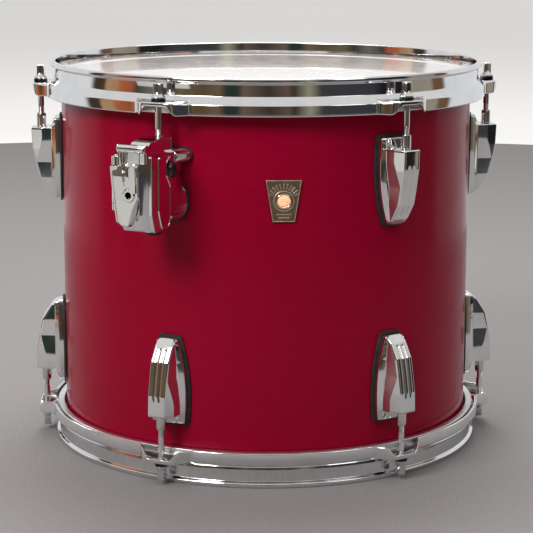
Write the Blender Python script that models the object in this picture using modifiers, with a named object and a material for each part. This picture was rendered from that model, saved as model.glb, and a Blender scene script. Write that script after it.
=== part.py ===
"""A 14 by 12 inch rack tom: a lacquered wood shell between two triple-flanged hoops.

Metres, +Z up. The drum stands on its lower hoop. The origin is on the drum's axis, on the
floor. An azimuth is in degrees from -Y towards +X, so azimuth 0 faces -Y. Hardware that is
fixed to the shell is modelled at azimuth 0, where local x runs along the shell, local -y
points outwards and the drum's axis is at x = y = 0, and is then turned to its own azimuth.
"""
import math

import bpy
from mathutils import Matrix, Vector

# ---- driving dimensions ----
SHELL_RADIUS = 0.177
SHELL_DEPTH = 0.3048
SHELL_WALL = 0.0065
RIM_RISE = 0.0122            # from a bearing edge to the rim beyond it
HEIGHT = SHELL_DEPTH + 2 * RIM_RISE
SHELL_TOP = HEIGHT - RIM_RISE
ROD_RADIUS = 0.1945          # from the drum's axis to a tension rod's axis
GAP = 0.0003                 # clearance between touching solids

STATIONS = 6                 # tension rods on each hoop
STATION_STEP = 360 / STATIONS
FIRST_STATION = -45          # azimuth of the bracket, on the batter side
BADGE_AZIMUTH = FIRST_STATION + STATION_STEP / 2

# ---- hoops, measured down from the rim ----
BEAD_RADIUS = 0.1864
BEAD_HEIGHT = 0.0034
WALL_RADIUS = 0.1836
HOOP_SHEET = 0.0023
WALL_END = 0.0146
SKIRT_RADIUS = 0.1893
SKIRT_TOP = 0.0210
SKIRT_END = 0.0298
EAR_TOP = 0.0188
EAR_END = 0.0224
EAR_RADIUS = 0.2015
EAR_FLAT = 0.010             # half width of the ear's straight part
EAR_BASE = 0.026             # half width where the ear meets the round skirt
NOTCH_FLAT = 0.008           # half width over which the ear's lip is shallow
NOTCH_BASE = 0.016
EAR_SAMPLES = (0, 0.005, 0.010, 0.014, 0.019, 0.026)
ROUND_STEPS = 5              # straight facets between two ears
ROD_HOLE = 0.0034

# ---- heads, measured down from the rim ----
FILM = 0.0003
FLESH_TOP = 0.0217
FLESH_END = 0.0290
FLESH_INNER = 0.1789
FLESH_OUTER = 0.1848

# ---- tension rods and swivel nuts, measured down from the rim ----
ROD_SHANK = 0.0026
ROD_FLANGE = 0.0057
ROD_NECK = 0.0034
ROD_SQUARE = 0.0063
ROD_TOP = 0.0044
SQUARE_END = 0.0116
CONE_END = 0.0165
ROD_END = 0.0712
NUT_RADIUS = 0.0040
NUT_BORE = 0.00315
NUT_TOP = 0.0462
NUT_END = 0.0672

# ---- lugs ----
LUG_CENTRE = 0.0842          # from the rim to the middle of a lug's gasket
GASKET_HALF = 0.0372
GASKET_THICK = 0.0012
LUG_WIDE = 0.0179            # half width where the gasket is widest
LUG_WIDEST = 0.0140          # from the lug's middle to its widest point
LUG_TAPER = 0.0082           # how much narrower the far end is
CASING_INSET = 0.0022
CASING_BASE = 0.0090         # from the shell to the top of the base
CASING_EDGE = 0.0062         # from the shell to the base's rim
CASING_SHOULDER = 0.0034     # width of the slope from rim to top
CASING_HEIGHTS = (-0.0150, 0.0050, 0.0180)   # slices between the ends of the base
FIN_HALF = 0.0074
FIN_SLOPE = 0.30             # how fast a side of the fin spreads towards its foot
FIN_FACE = 0.84              # flat share of the fin's front
FIN_DRAFT = 0.0004
FIN_PROFILE = (              # from the lug's middle, and radius of the fin's front
    (-0.0312, 0.1870),
    (-0.0284, 0.1912),
    (-0.0185, 0.1966),
    (-0.0070, 0.1990),
    (0.0100, 0.2024),
    (0.0265, 0.2036),
)
FIN_END = FIN_PROFILE[-1][0]
LUG_BORE = 0.0045
LUG_BORE_END = 0.0100        # from the lug's middle
LUG_HOLLOW = ((-0.0048, -0.1885, -0.0220), (0.0048, -0.1770, 0.0230))

# ---- badge and vent ----
BADGE_Z = 0.2325
BADGE_HALF = 0.0166
BADGE_WIDE = 0.0143
BADGE_SLIM = 0.0088
BADGE_THICK = 0.0010
VENT_HOLE = 0.0058

# ---- tom bracket, heights from the floor ----
BLOCK_BACK = 0.205
BLOCK_FRONT = 0.231
BLOCK_HALF = 0.015
BLOCK_LOW = 0.212
BLOCK_TOP = 0.272
BOSS_HALF = 0.008
BOSS_TOP = 0.2835
BOSS_BACK = 0.1885
NECK_HALF = 0.0135
NECK_LOW = 0.220
FOOT_FACE = SHELL_RADIUS + 0.0019
UPPER_FOOT = (0.0195, 0.2607, 0.2735)     # half width, lowest and highest point
LOWER_FOOT = (0.0168, 0.2133, 0.2479)
NECK_BACK = 0.190
JAW_BACK = 0.2342
JAW_FRONT = 0.2400
JAW_TOP = 0.2815
JAW_LOW = 0.218
JAW_LEFT = -0.0113
JAW_RIGHT = 0.0130
HINGE_X = -0.0152
HINGE_RADIUS = 0.2348
BARREL = 0.0034
HINGE_PIN = 0.0016
HINGE_BORE = 0.00205
KNUCKLES = (0.2300, 0.2350, 0.2650, 0.2720)   # body, jaw, body, from the lowest up
CHANNEL_X = 0.0070
CHANNEL_RADIUS = 0.2326
CHANNEL_HALF = 0.0060
CLAMP_X = -0.0015
CLAMP_Z = 0.2428
CLAMP_BORE = 0.0026
SIDE_BOLT_RADIUS = 0.2005
SIDE_BOLT_Z = 0.2588
SIDE_BOLT = 0.0025
SIDE_HEAD = 0.0067
NUT_SEAT = 0.2610            # lowest point of the bracket's swivel nut bore
ROD_BORE = 0.0032
ROD_BORE_LOW = 0.2570
BUMPER = 0.0068
BUMPER_LOW = 0.2085
BUMPER_AT = (0.004, -0.2120)

FACETS = 10                  # sides of a small round part
SHELL_FACETS = 72
HEAD_FACETS = 48
CUTTER_MARGIN = 0.002
MERGE = 0.00001

COLOURS = {
    "lacquer": ((0.26, 0.004, 0.024), 0.32, 0.0),
    "chrome": ((0.78, 0.78, 0.79), 0.07, 1.0),
    "film": ((0.82, 0.79, 0.76), 0.2, 0.0),
    "brass": ((0.36, 0.27, 0.14), 0.35, 1.0),
    "rubber": ((0.012, 0.012, 0.013), 0.6, 0.0),
    "steel": ((0.55, 0.55, 0.56), 0.25, 1.0),
}


def clear_scene():
    for obj in list(bpy.data.objects):
        bpy.data.objects.remove(obj, do_unlink=True)


def new_collection(name):
    group = bpy.data.collections.new(name)
    bpy.context.scene.collection.children.link(group)
    return group


def material(name):
    """The material of that name, made on first use."""
    if name in bpy.data.materials:
        return bpy.data.materials[name]
    colour, roughness, metallic = COLOURS[name]
    made = bpy.data.materials.new(name)
    made.use_nodes = True
    shader = made.node_tree.nodes["Principled BSDF"]
    shader.inputs["Base Color"].default_value = (*colour, 1)
    shader.inputs["Roughness"].default_value = roughness
    shader.inputs["Metallic"].default_value = metallic
    return made


def place(obj, group):
    """Keep an object in one collection only."""
    for old in list(obj.users_collection):
        old.objects.unlink(obj)
    group.objects.link(obj)
    return obj


def part_object(name, mesh, finish):
    obj = bpy.data.objects.new(name, mesh)
    obj.data.materials.clear()
    obj.data.materials.append(material(finish))
    return place(obj, PARTS)


def as_cutter(obj):
    obj.hide_render = True
    obj.display_type = "WIRE"
    return place(obj, CUTTERS)


def cube(low, high):
    """A box between two corners, with its scale applied."""
    low, high = Vector(low), Vector(high)
    bpy.ops.mesh.primitive_cube_add(size=1, location=(low + high) / 2)
    obj = bpy.context.active_object
    obj.data.transform(Matrix.Diagonal((*(high - low), 1)))
    return obj


def cylinder(radius, low, high, centre=(0, 0), sides=FACETS):
    """An upright cylinder about a vertical line through centre."""
    bpy.ops.mesh.primitive_cylinder_add(
        vertices=sides,
        radius=radius,
        depth=high - low,
        location=(*centre, (low + high) / 2),
    )
    return bpy.context.active_object


def boolean(obj, other, operation):
    mod = obj.modifiers.new(operation.title(), "BOOLEAN")
    mod.operation = operation
    mod.object = as_cutter(other)
    return obj


def bevel(obj, width, segments=1, angle=40):
    mod = obj.modifiers.new("Bevel", "BEVEL")
    mod.width = width
    mod.segments = segments
    mod.limit_method = "ANGLE"
    mod.angle_limit = math.radians(angle)
    return obj


def baked_mesh(obj):
    """The object's shape with its modifiers, as a mesh that copies can share."""
    bpy.context.view_layer.update()
    graph = bpy.context.evaluated_depsgraph_get()
    mesh = bpy.data.meshes.new_from_object(obj.evaluated_get(graph))
    bpy.data.objects.remove(obj, do_unlink=True)
    return mesh


def turned(name, profile, finish, sides=FACETS):
    """A solid of revolution about its own z axis.

    The profile lists (radius, z). It starts on the axis, or on a ring's outer side, and
    runs down the outer side and back up the inner one.
    """
    on_axis = profile[0][0] == 0
    count = len(profile)
    edges = [(i, i + 1) for i in range(count - 1)]
    if not on_axis:
        edges.append((count - 1, 0))
    mesh = bpy.data.meshes.new(name)
    mesh.from_pydata([(r, 0, z) for r, z in profile], edges, [])
    obj = part_object(name, mesh, finish)
    screw = obj.modifiers.new("Turn", "SCREW")
    screw.steps = sides
    screw.render_steps = sides
    screw.use_merge_vertices = True
    screw.merge_threshold = MERGE
    return obj


def lofted(name, sections, finish, closed=False):
    """A solid through a row of sections, which all have the same number of points.

    Each section runs anticlockwise as seen from the row's far end. A closed row returns
    to its first section, and an open one is capped at both ends.
    """
    size = len(sections[0])
    count = len(sections)
    points = [point for section in sections for point in section]
    spans = count if closed else count - 1
    faces = []
    for i in range(spans):
        here, there = i * size, (i + 1) % count * size
        for j in range(size):
            k = (j + 1) % size
            faces.append((here + j, here + k, there + k, there + j))
    if not closed:
        faces.append(tuple(reversed(range(size))))
        faces.append(tuple(range((count - 1) * size, count * size)))
    mesh = bpy.data.meshes.new(name)
    mesh.from_pydata(points, [], faces)
    mesh.validate()
    return part_object(name, mesh, finish)


def smoothstep(start, end, value):
    """0 at start, 1 at end and beyond."""
    t = min(1, max(0, (value - start) / (end - start)))
    return t * t * (3 - 2 * t)


def blend(a, b, share):
    return a + (b - a) * share


def on_circle(azimuth, radius, z):
    """A point at an azimuth in degrees."""
    angle = math.radians(azimuth)
    return Vector((radius * math.sin(angle), -radius * math.cos(angle), z))


def on_arc(x, radius):
    """A point on the arc of that radius about the drum's axis, at azimuth 0."""
    return x, -math.sqrt(radius * radius - x * x)


def turn_to(obj, azimuth, upside_down=False):
    """Stand a piece modelled at azimuth 0 at its own, flipped for the resonant side."""
    obj.rotation_euler = (0, math.pi if upside_down else 0, math.radians(azimuth))
    if upside_down:
        obj.location = (0, 0, HEIGHT)
    return obj


# ---- shell, badge and vent ----
def make_shell():
    """The turned wood shell. Its edges are cut at 45 degrees inside and eased outside."""
    inner = SHELL_RADIUS - SHELL_WALL
    low, top = RIM_RISE, SHELL_TOP
    crest = SHELL_RADIUS - 0.0022
    slope = crest - inner
    outside = [(SHELL_RADIUS, 0.0040), (crest, 0)]
    profile = [(r, top - h) for r, h in reversed(outside)]
    profile += [(r, low + h) for r, h in outside]
    profile += [(inner, low + slope), (inner, top - slope)]
    shell = turned("shell", profile, "lacquer", SHELL_FACETS)
    vent = cylinder(VENT_HOLE, -0.02, 0.02, sides=16)
    vent.location = on_circle(BADGE_AZIMUTH, SHELL_RADIUS, BADGE_Z)
    vent.rotation_euler = (math.pi / 2, 0, math.radians(BADGE_AZIMUTH))
    boolean(shell, vent, "DIFFERENCE")


def make_badge():
    """A thin plate, curved to the shell, tapered downwards, with a hole for the vent."""
    sections = []
    inner = SHELL_RADIUS + 2 * GAP
    heights = (-BADGE_HALF, -0.003, BADGE_HALF)
    widths = (BADGE_SLIM, 0.0125, BADGE_WIDE)
    for z, half in zip(heights, widths):
        xs = [blend(-half, half, i / 4) for i in range(5)]
        back = [(*on_arc(x, inner), z) for x in reversed(xs)]
        front = [(*on_arc(x, inner + BADGE_THICK), z) for x in xs]
        sections.append(front + back)
    badge = lofted("badge", sections, "brass")
    hole = cylinder(VENT_HOLE, -0.02, 0.02, sides=16)
    hole.rotation_euler = (math.pi / 2, 0, math.radians(BADGE_AZIMUTH))
    hole.location = on_circle(BADGE_AZIMUTH, SHELL_RADIUS, BADGE_Z)
    boolean(badge, hole, "DIFFERENCE")
    turn_to(badge, BADGE_AZIMUTH)
    badge.location = (0, 0, BADGE_Z)


def make_grommet():
    """The eyelet through badge and shell, turned about the vent's axis."""
    face = 2 * GAP + BADGE_THICK + GAP
    profile = [
        (0.0048, face + 0.0011),
        (0.0060, face + 0.0009),
        (0.0064, face),
        (0.0053, face),
        (0.0053, -SHELL_WALL - 0.001),
        (0.0047, -SHELL_WALL - 0.001),
    ]
    grommet = turned("vent_grommet", profile, "brass", 20)
    grommet.rotation_euler = (math.pi / 2, 0, math.radians(BADGE_AZIMUTH))
    grommet.location = on_circle(BADGE_AZIMUTH, SHELL_RADIUS, BADGE_Z)


# ---- heads ----
def make_head(name, upside_down):
    """A film bonded into its flesh hoop, drawn over the bearing edge."""
    film_top = HEIGHT - RIM_RISE + GAP + FILM
    profile = [
        (0, film_top),
        (0.1752, film_top),
        (0.1784, film_top - 0.0024),
        (0.1798, HEIGHT - FLESH_TOP),
        (FLESH_OUTER, HEIGHT - FLESH_TOP),
        (FLESH_OUTER, HEIGHT - FLESH_END),
        (FLESH_INNER, HEIGHT - FLESH_END),
        (FLESH_INNER, HEIGHT - FLESH_TOP + 0.0004),
        (0.1779, film_top - 0.0027),
        (0.1749, film_top - FILM),
        (0, film_top - FILM),
    ]
    return turn_to(turned(name, profile, "film", HEAD_FACETS), 0, upside_down)


# ---- hoops ----
def hoop_section(offset):
    """The hoop's section where the nearest ear is offset metres away along the skirt."""
    ear = smoothstep(EAR_BASE, EAR_FLAT, offset)
    notch = smoothstep(NOTCH_BASE, NOTCH_FLAT, offset)
    inner_wall = WALL_RADIUS - HOOP_SHEET
    skirt = blend(SKIRT_RADIUS, EAR_RADIUS, ear)
    corner = blend(SKIRT_TOP, EAR_TOP, ear)
    end = blend(SKIRT_END, EAR_END, notch)
    shoulder = blend(0.0178, EAR_TOP, ear)
    return [
        (inner_wall + 0.0006, 0),
        (BEAD_RADIUS - 0.0005, 0),
        (BEAD_RADIUS, BEAD_HEIGHT),
        (WALL_RADIUS, BEAD_HEIGHT + 0.0014),
        (WALL_RADIUS, WALL_END),
        (0.1866, shoulder),
        (skirt, corner),
        (skirt, end),
        (skirt - HOOP_SHEET, end),
        (skirt - HOOP_SHEET, corner + blend(0.0020, HOOP_SHEET, ear)),
        (0.1850, blend(0.0206, EAR_TOP + 0.0022, ear)),
        (inner_wall, WALL_END + 0.0016),
    ]


def hoop_azimuths():
    """Azimuths round the hoop with, for each, the distance to its nearest ear."""
    spread = [math.degrees(s / SKIRT_RADIUS) for s in EAR_SAMPLES]
    ear = [(-a, s) for a, s in zip(spread, EAR_SAMPLES)][:0:-1]
    ear += list(zip(spread, EAR_SAMPLES))
    plain = STATION_STEP - 2 * spread[-1]
    between = [spread[-1] + plain * i / ROUND_STEPS for i in range(1, ROUND_STEPS)]
    ear += [(a, EAR_BASE) for a in between]
    for station in range(STATIONS):
        for azimuth, offset in ear:
            yield FIRST_STATION + station * STATION_STEP + azimuth, offset


def make_hoop(name, upside_down):
    """A pressed steel hoop: bead, wall and skirt, drawn out into an ear at each rod."""
    sections = []
    for azimuth, offset in hoop_azimuths():
        if upside_down:
            azimuth = -azimuth
        profile = hoop_section(offset)
        sections.append([on_circle(azimuth, r, HEIGHT - h) for r, h in profile])
    if upside_down:
        sections.reverse()
    hoop = lofted(name, sections, "chrome", closed=True)
    for azimuth in station_azimuths():
        side = -azimuth if upside_down else azimuth
        centre = on_circle(side, ROD_RADIUS, 0)
        hole = cylinder(ROD_HOLE, HEIGHT - EAR_END - 0.004, HEIGHT - EAR_TOP + 0.004, centre.xy)
        boolean(hoop, baked_under(hole, upside_down), "DIFFERENCE")
    return turn_to(hoop, 0, upside_down)


def baked_under(obj, upside_down):
    """Flip a cutter together with the piece that it cuts."""
    if upside_down:
        flip = Matrix.Translation((0, 0, HEIGHT)) @ Matrix.Rotation(math.pi, 4, "Y")
        bpy.context.view_layer.update()
        obj.matrix_world = flip @ obj.matrix_world
    return obj


def station_azimuths():
    return [FIRST_STATION + i * STATION_STEP for i in range(STATIONS)]


# ---- tension rods and swivel nuts ----
def rod_mesh():
    """A drum-key rod about its own axis, with z measured down from the rim."""
    profile = [
        (0, -SQUARE_END),
        (ROD_NECK, -SQUARE_END),
        (ROD_FLANGE, -CONE_END),
        (ROD_FLANGE, -EAR_TOP + GAP),
        (ROD_SHANK, -EAR_TOP + GAP),
        (ROD_SHANK, -ROD_END),
        (0, -ROD_END),
    ]
    rod = turned("rod_pattern", profile, "chrome")
    half = ROD_SQUARE / 2
    square = cube((-half, -half, -SQUARE_END - 0.001), (half, half, -ROD_TOP))
    boolean(rod, bevel(square, 0.0006), "UNION")
    return baked_mesh(rod)


def nut_mesh():
    """The round swivel nut that a rod screws into."""
    profile = [
        (NUT_RADIUS, -NUT_TOP),
        (NUT_RADIUS, -NUT_END),
        (NUT_BORE, -NUT_END),
        (NUT_BORE, -NUT_TOP),
    ]
    return baked_mesh(turned("nut_pattern", profile, "steel"))


def on_rod_axis(obj, azimuth, upside_down):
    """Stand a piece on a rod's axis, measured from the rim of its own side."""
    obj.location = on_circle(azimuth, ROD_RADIUS, 0 if upside_down else HEIGHT)
    obj.rotation_euler = (0, math.pi if upside_down else 0, math.radians(azimuth))
    return obj


# ---- lugs ----
def lug_half_width(z):
    """Half width of the gasket at a height from the lug's middle, rod end up."""
    share = abs(z - LUG_WIDEST) / (GASKET_HALF + LUG_WIDEST)
    return LUG_WIDE - LUG_TAPER * share ** 2.15


def plate_section(half, inner, outer, z):
    """A slice of a plate that follows the shell, as points from left to right and back."""
    xs = (-half, 0, half)
    front = [(*on_arc(x, outer), z) for x in xs]
    back = [(*on_arc(x, inner), z) for x in reversed(xs)]
    return front + back


def gasket_mesh():
    inner = SHELL_RADIUS + 0.0005
    steps = 8
    sections = []
    for i in range(steps + 1):
        z = blend(-GASKET_HALF, GASKET_HALF, i / steps)
        sections.append(plate_section(lug_half_width(z), inner, inner + GASKET_THICK, z))
    return baked_mesh(lofted("gasket_pattern", sections, "rubber"))


def fin_front(z):
    """Radius of the fin's front edge at a height from the lug's middle."""
    for low, high in zip(FIN_PROFILE, FIN_PROFILE[1:]):
        if z <= high[0]:
            break
    return blend(low[1], high[1], max(0, (z - low[0]) / (high[0] - low[0])))


def casing_section(z, front):
    """A slice of the lug: a wide base with a tapering fin standing on it."""
    end = GASKET_HALF - CASING_INSET
    half = lug_half_width(z) - CASING_INSET
    inner = SHELL_RADIUS + 0.0005 + GASKET_THICK + GAP
    rim = SHELL_RADIUS + CASING_EDGE
    rise = min(1, (end - abs(z)) / CASING_SHOULDER)
    base = blend(rim + 0.0002, SHELL_RADIUS + CASING_BASE, rise)
    fin = min(FIN_HALF, half - CASING_SHOULDER - 0.0006)
    edge = max(base + 0.0002, front - 0.0015)
    tip = max(base + 0.0004, front)
    foot = min(fin + FIN_SLOPE * (edge - base), half - CASING_SHOULDER)
    return [
        (*on_arc(-half, rim), z),
        (-foot, -base, z),
        (-fin, -edge, z),
        (-fin * FIN_FACE, -tip, z),
        (fin * FIN_FACE, -tip, z),
        (fin, -edge, z),
        (foot, -base, z),
        (*on_arc(half, rim), z),
        (*on_arc(half, inner), z),
        (0, -inner, z),
        (*on_arc(-half, inner), z),
    ]


def lug_mesh():
    """The hollow cast lug, with a bore for its swivel nut."""
    end = GASKET_HALF - CASING_INSET
    heights = [-end] + [z for z, radius in FIN_PROFILE] + list(CASING_HEIGHTS)
    sections = [casing_section(z, fin_front(z)) for z in sorted(heights)]
    sections += [casing_section(z, 0) for z in (FIN_END + FIN_DRAFT, end - CASING_SHOULDER, end)]
    lug = lofted("lug_pattern", sections, "chrome")
    bore = cylinder(LUG_BORE, LUG_BORE_END, FIN_END + CUTTER_MARGIN, (0, -ROD_RADIUS))
    boolean(lug, bore, "DIFFERENCE")
    hollow = cube(*LUG_HOLLOW)
    boolean(lug, hollow, "DIFFERENCE")
    return baked_mesh(lug)


def on_lug_centre(obj, azimuth, upside_down):
    obj.location = (0, 0, LUG_CENTRE if upside_down else HEIGHT - LUG_CENTRE)
    obj.rotation_euler = (0, math.pi if upside_down else 0, math.radians(azimuth))
    return obj


# ---- tom bracket ----
def box_at(half, low, high, back, front):
    """A box symmetric about x = 0 between two radii and two heights."""
    return cube((-half, -front, low), (half, -back, high))


def clamp_channel():
    """The diamond-shaped channel for an L-rod, shared by block and jaw."""
    centre = (CHANNEL_X, -CHANNEL_RADIUS)
    return cylinder(CHANNEL_HALF, 0.20, 0.30, centre, sides=4)


def upright_at_hinge(radius, low, high):
    return cylinder(radius, low, high, (HINGE_X, -HINGE_RADIUS), sides=12)


def across(radius, left, right, z, distance, sides=12):
    """A cylinder along x at a height and a distance from the drum's axis."""
    bpy.ops.mesh.primitive_cylinder_add(
        vertices=sides,
        radius=radius,
        depth=right - left,
        location=((left + right) / 2, -distance, z),
        rotation=(0, math.pi / 2, 0),
    )
    return bpy.context.active_object


def outwards(radius, x, z, back, front, sides=12):
    """A cylinder along y at a height, between two distances from the drum's axis."""
    bpy.ops.mesh.primitive_cylinder_add(
        vertices=sides,
        radius=radius,
        depth=front - back,
        location=(x, -(back + front) / 2, z),
        rotation=(math.pi / 2, 0, 0),
    )
    return bpy.context.active_object


def finished(obj, name, finish):
    """Name a bracket piece, give it its material and turn it to the bracket's azimuth."""
    mesh = baked_mesh(pose_free(obj))
    mesh.transform(Matrix.Rotation(math.radians(FIRST_STATION), 4, "Z"))
    return part_object(name, mesh, finish)


def pose_free(obj):
    """Put an object's place into its mesh, so that later pieces can be joined to it."""
    bpy.context.view_layer.update()
    obj.data.transform(obj.matrix_world)
    obj.matrix_world = Matrix.Identity(4)
    return obj


def make_bracket_body():
    """The cast block: two feet on the shell, a neck, a rod boss and two hinge knuckles."""
    body = pose_free(box_at(BLOCK_HALF, BLOCK_LOW, BLOCK_TOP, BLOCK_BACK, BLOCK_FRONT))
    bevel(body, 0.0025)
    boss = box_at(BOSS_HALF, BLOCK_TOP - 0.008, BOSS_TOP, BOSS_BACK, BLOCK_FRONT - 0.001)
    boolean(body, bevel(boss, 0.0015), "UNION")
    neck = box_at(NECK_HALF, NECK_LOW, BLOCK_TOP - 0.001, NECK_BACK, BLOCK_BACK + 0.004)
    boolean(body, neck, "UNION")
    for half, low, high in (UPPER_FOOT, LOWER_FOOT):
        foot = box_at(half, low, high, SHELL_RADIUS - 0.004, NECK_BACK + 0.003)
        boolean(body, bevel(foot, 0.003), "UNION")
    for low, high in (KNUCKLES[:2], KNUCKLES[2:]):
        barrel = upright_at_hinge(BARREL, low, high)
        web = cube((HINGE_X, -HINGE_RADIUS, low), (HINGE_X + 0.003, -BLOCK_FRONT + 0.003, high))
        boolean(body, barrel, "UNION")
        boolean(body, web, "UNION")
    shell_face = cylinder(FOOT_FACE, 0.19, 0.30, sides=SHELL_FACETS)
    boolean(body, shell_face, "DIFFERENCE")
    boolean(body, upright_at_hinge(HINGE_BORE, 0.21, 0.28), "DIFFERENCE")
    boolean(body, clamp_channel(), "DIFFERENCE")
    nut_bore = cylinder(LUG_BORE, NUT_SEAT, 0.2900, (0, -ROD_RADIUS))
    boolean(body, nut_bore, "DIFFERENCE")
    rod_bore = cylinder(ROD_BORE, ROD_BORE_LOW, 0.2700, (0, -ROD_RADIUS))
    boolean(body, rod_bore, "DIFFERENCE")
    clamp_hole = outwards(CLAMP_BORE, CLAMP_X, CLAMP_Z, BLOCK_FRONT - 0.014, BLOCK_FRONT + 0.002)
    boolean(body, clamp_hole, "DIFFERENCE")
    cross = across(SIDE_BOLT + 0.0004, -0.03, 0.03, SIDE_BOLT_Z, SIDE_BOLT_RADIUS)
    boolean(body, cross, "DIFFERENCE")
    finished(body, "mount_body", "chrome")


def jaw_plate():
    """The jaw's flat outline, wide at the top and drawn in below the clamp hole."""
    outline = [
        (JAW_LEFT, JAW_TOP),
        (JAW_LEFT, 0.2235),
        (-0.0088, JAW_LOW),
        (-0.0010, JAW_LOW),
        (0.0030, 0.2270),
        (0.0085, 0.2350),
        (JAW_RIGHT, 0.2415),
        (JAW_RIGHT, JAW_TOP),
    ]
    back = [(x, -JAW_BACK, z) for x, z in outline]
    front = [(x, -JAW_FRONT, z) for x, z in outline]
    return lofted("jaw_pattern", [back, front], "chrome")


def make_jaw():
    """The hinged jaw. It closes on the L-rod when the wing bolt pulls it in."""
    jaw = bevel(jaw_plate(), 0.0008)
    low, high = KNUCKLES[1] + GAP, KNUCKLES[2] - GAP
    boolean(jaw, upright_at_hinge(BARREL, low, high), "UNION")
    web = cube((HINGE_X, -HINGE_RADIUS - BARREL, low), (JAW_LEFT + 0.002, -JAW_BACK - 0.0002, high))
    boolean(jaw, web, "UNION")
    bar = cube((-0.0016, -JAW_FRONT - 0.0009, 0.2500), (0.0053, -JAW_FRONT + 0.001, 0.2660))
    boolean(jaw, bar, "UNION")
    boolean(jaw, upright_at_hinge(HINGE_BORE, 0.21, 0.28), "DIFFERENCE")
    boolean(jaw, clamp_channel(), "DIFFERENCE")
    hole = outwards(CLAMP_BORE, CLAMP_X, CLAMP_Z, JAW_BACK - 0.004, JAW_FRONT + 0.004)
    boolean(jaw, hole, "DIFFERENCE")
    mesh = baked_mesh(jaw)
    mesh.transform(Matrix.Translation((-HINGE_X, HINGE_RADIUS, 0)))
    made = part_object("mount_jaw", mesh, "chrome")
    turn = Matrix.Rotation(math.radians(FIRST_STATION), 4, "Z")
    made.location = turn @ Vector((HINGE_X, -HINGE_RADIUS, 0))
    made.rotation_euler = (0, 0, math.radians(FIRST_STATION))


def make_bracket_gaskets():
    inner = SHELL_RADIUS + 0.0005
    names = ("mount_upper_gasket", "mount_lower_gasket")
    for name, (half, low, high) in zip(names, (UPPER_FOOT, LOWER_FOOT)):
        grow = 0.0008
        outer = FOOT_FACE - 2 * GAP
        sections = [plate_section(half + grow, inner, outer, z) for z in (low - grow, high + grow)]
        turn_to(lofted(name, sections, "rubber"), FIRST_STATION)


def make_bracket_fittings():
    """Hinge pin, side bolt and the bumper under the block."""
    pin = upright_at_hinge(HINGE_PIN, KNUCKLES[0] - 0.001, KNUCKLES[3] + 0.001)
    finished(pin, "mount_hinge_pin", "steel")
    bolt = pose_free(across(SIDE_BOLT, -0.0165, 0.0160, SIDE_BOLT_Z, SIDE_BOLT_RADIUS))
    head = across(SIDE_HEAD, 0.0138, 0.0175, SIDE_BOLT_Z, SIDE_BOLT_RADIUS, 20)
    boolean(bolt, bevel(head, 0.001), "UNION")
    finished(bolt, "mount_side_bolt", "rubber")
    bumper = cylinder(BUMPER, BUMPER_LOW, BLOCK_LOW - GAP, BUMPER_AT, sides=16)
    finished(bumper, "mount_bottom_bumper", "rubber")


def main():
    make_shell()
    make_badge()
    make_grommet()
    rod, nut, lug, gasket = rod_mesh(), nut_mesh(), lug_mesh(), gasket_mesh()
    for side, flipped in (("batter", False), ("resonant", True)):
        make_head(f"{side}_head", flipped)
        make_hoop(f"{side}_hoop", flipped)
        for number, azimuth in enumerate(station_azimuths(), 1):
            label = f"{side}_{{}}_{number}"
            on_rod_axis(part_object(label.format("rod"), rod, "chrome"), azimuth, flipped)
            on_rod_axis(part_object(label.format("nut"), nut, "steel"), azimuth, flipped)
            if side == "batter" and number == 1:
                continue            # the bracket takes this lug's place
            on_lug_centre(part_object(label.format("lug"), lug, "chrome"), azimuth, flipped)
            name = label.format("lug_gasket")
            on_lug_centre(part_object(name, gasket, "rubber"), azimuth, flipped)
    make_bracket_body()
    make_jaw()
    make_bracket_gaskets()
    make_bracket_fittings()


clear_scene()
PARTS = new_collection("rack_tom")
CUTTERS = new_collection("cutters")
main()
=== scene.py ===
"""Looks of a 14 by 12 inch rack tom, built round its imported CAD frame. Metres, +Z up.

The drum's axis is the z axis. An azimuth is in degrees from -Y towards +X. Hardware is
shaped once at azimuth 0, where x runs along the shell and -y points outwards, and is then
turned to each of its stations. The lower side's pieces are the upper side's, turned over.
"""
import math

import bmesh
import bpy
from mathutils import Matrix, Vector


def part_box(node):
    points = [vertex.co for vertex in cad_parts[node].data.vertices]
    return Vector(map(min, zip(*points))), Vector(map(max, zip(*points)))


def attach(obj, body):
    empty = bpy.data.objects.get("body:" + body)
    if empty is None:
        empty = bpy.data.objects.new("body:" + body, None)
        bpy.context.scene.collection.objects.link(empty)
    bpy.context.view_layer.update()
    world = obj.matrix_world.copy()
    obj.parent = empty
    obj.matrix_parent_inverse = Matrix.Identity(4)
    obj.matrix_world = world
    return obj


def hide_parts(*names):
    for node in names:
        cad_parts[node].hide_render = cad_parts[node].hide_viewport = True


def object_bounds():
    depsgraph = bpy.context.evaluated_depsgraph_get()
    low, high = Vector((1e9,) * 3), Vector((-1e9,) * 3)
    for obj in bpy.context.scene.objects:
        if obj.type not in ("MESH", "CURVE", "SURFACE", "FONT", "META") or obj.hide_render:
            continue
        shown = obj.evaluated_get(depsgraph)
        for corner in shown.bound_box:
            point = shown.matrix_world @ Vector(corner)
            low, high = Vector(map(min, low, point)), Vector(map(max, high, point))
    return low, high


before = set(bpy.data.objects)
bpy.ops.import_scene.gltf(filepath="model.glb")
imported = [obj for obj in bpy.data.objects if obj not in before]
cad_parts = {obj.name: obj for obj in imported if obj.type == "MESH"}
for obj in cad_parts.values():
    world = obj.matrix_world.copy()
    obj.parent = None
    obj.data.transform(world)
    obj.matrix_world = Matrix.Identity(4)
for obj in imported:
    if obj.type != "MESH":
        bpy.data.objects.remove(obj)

CAD_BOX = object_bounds()


def centre_of(node):
    low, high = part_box(node)
    return (low + high) / 2


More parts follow.
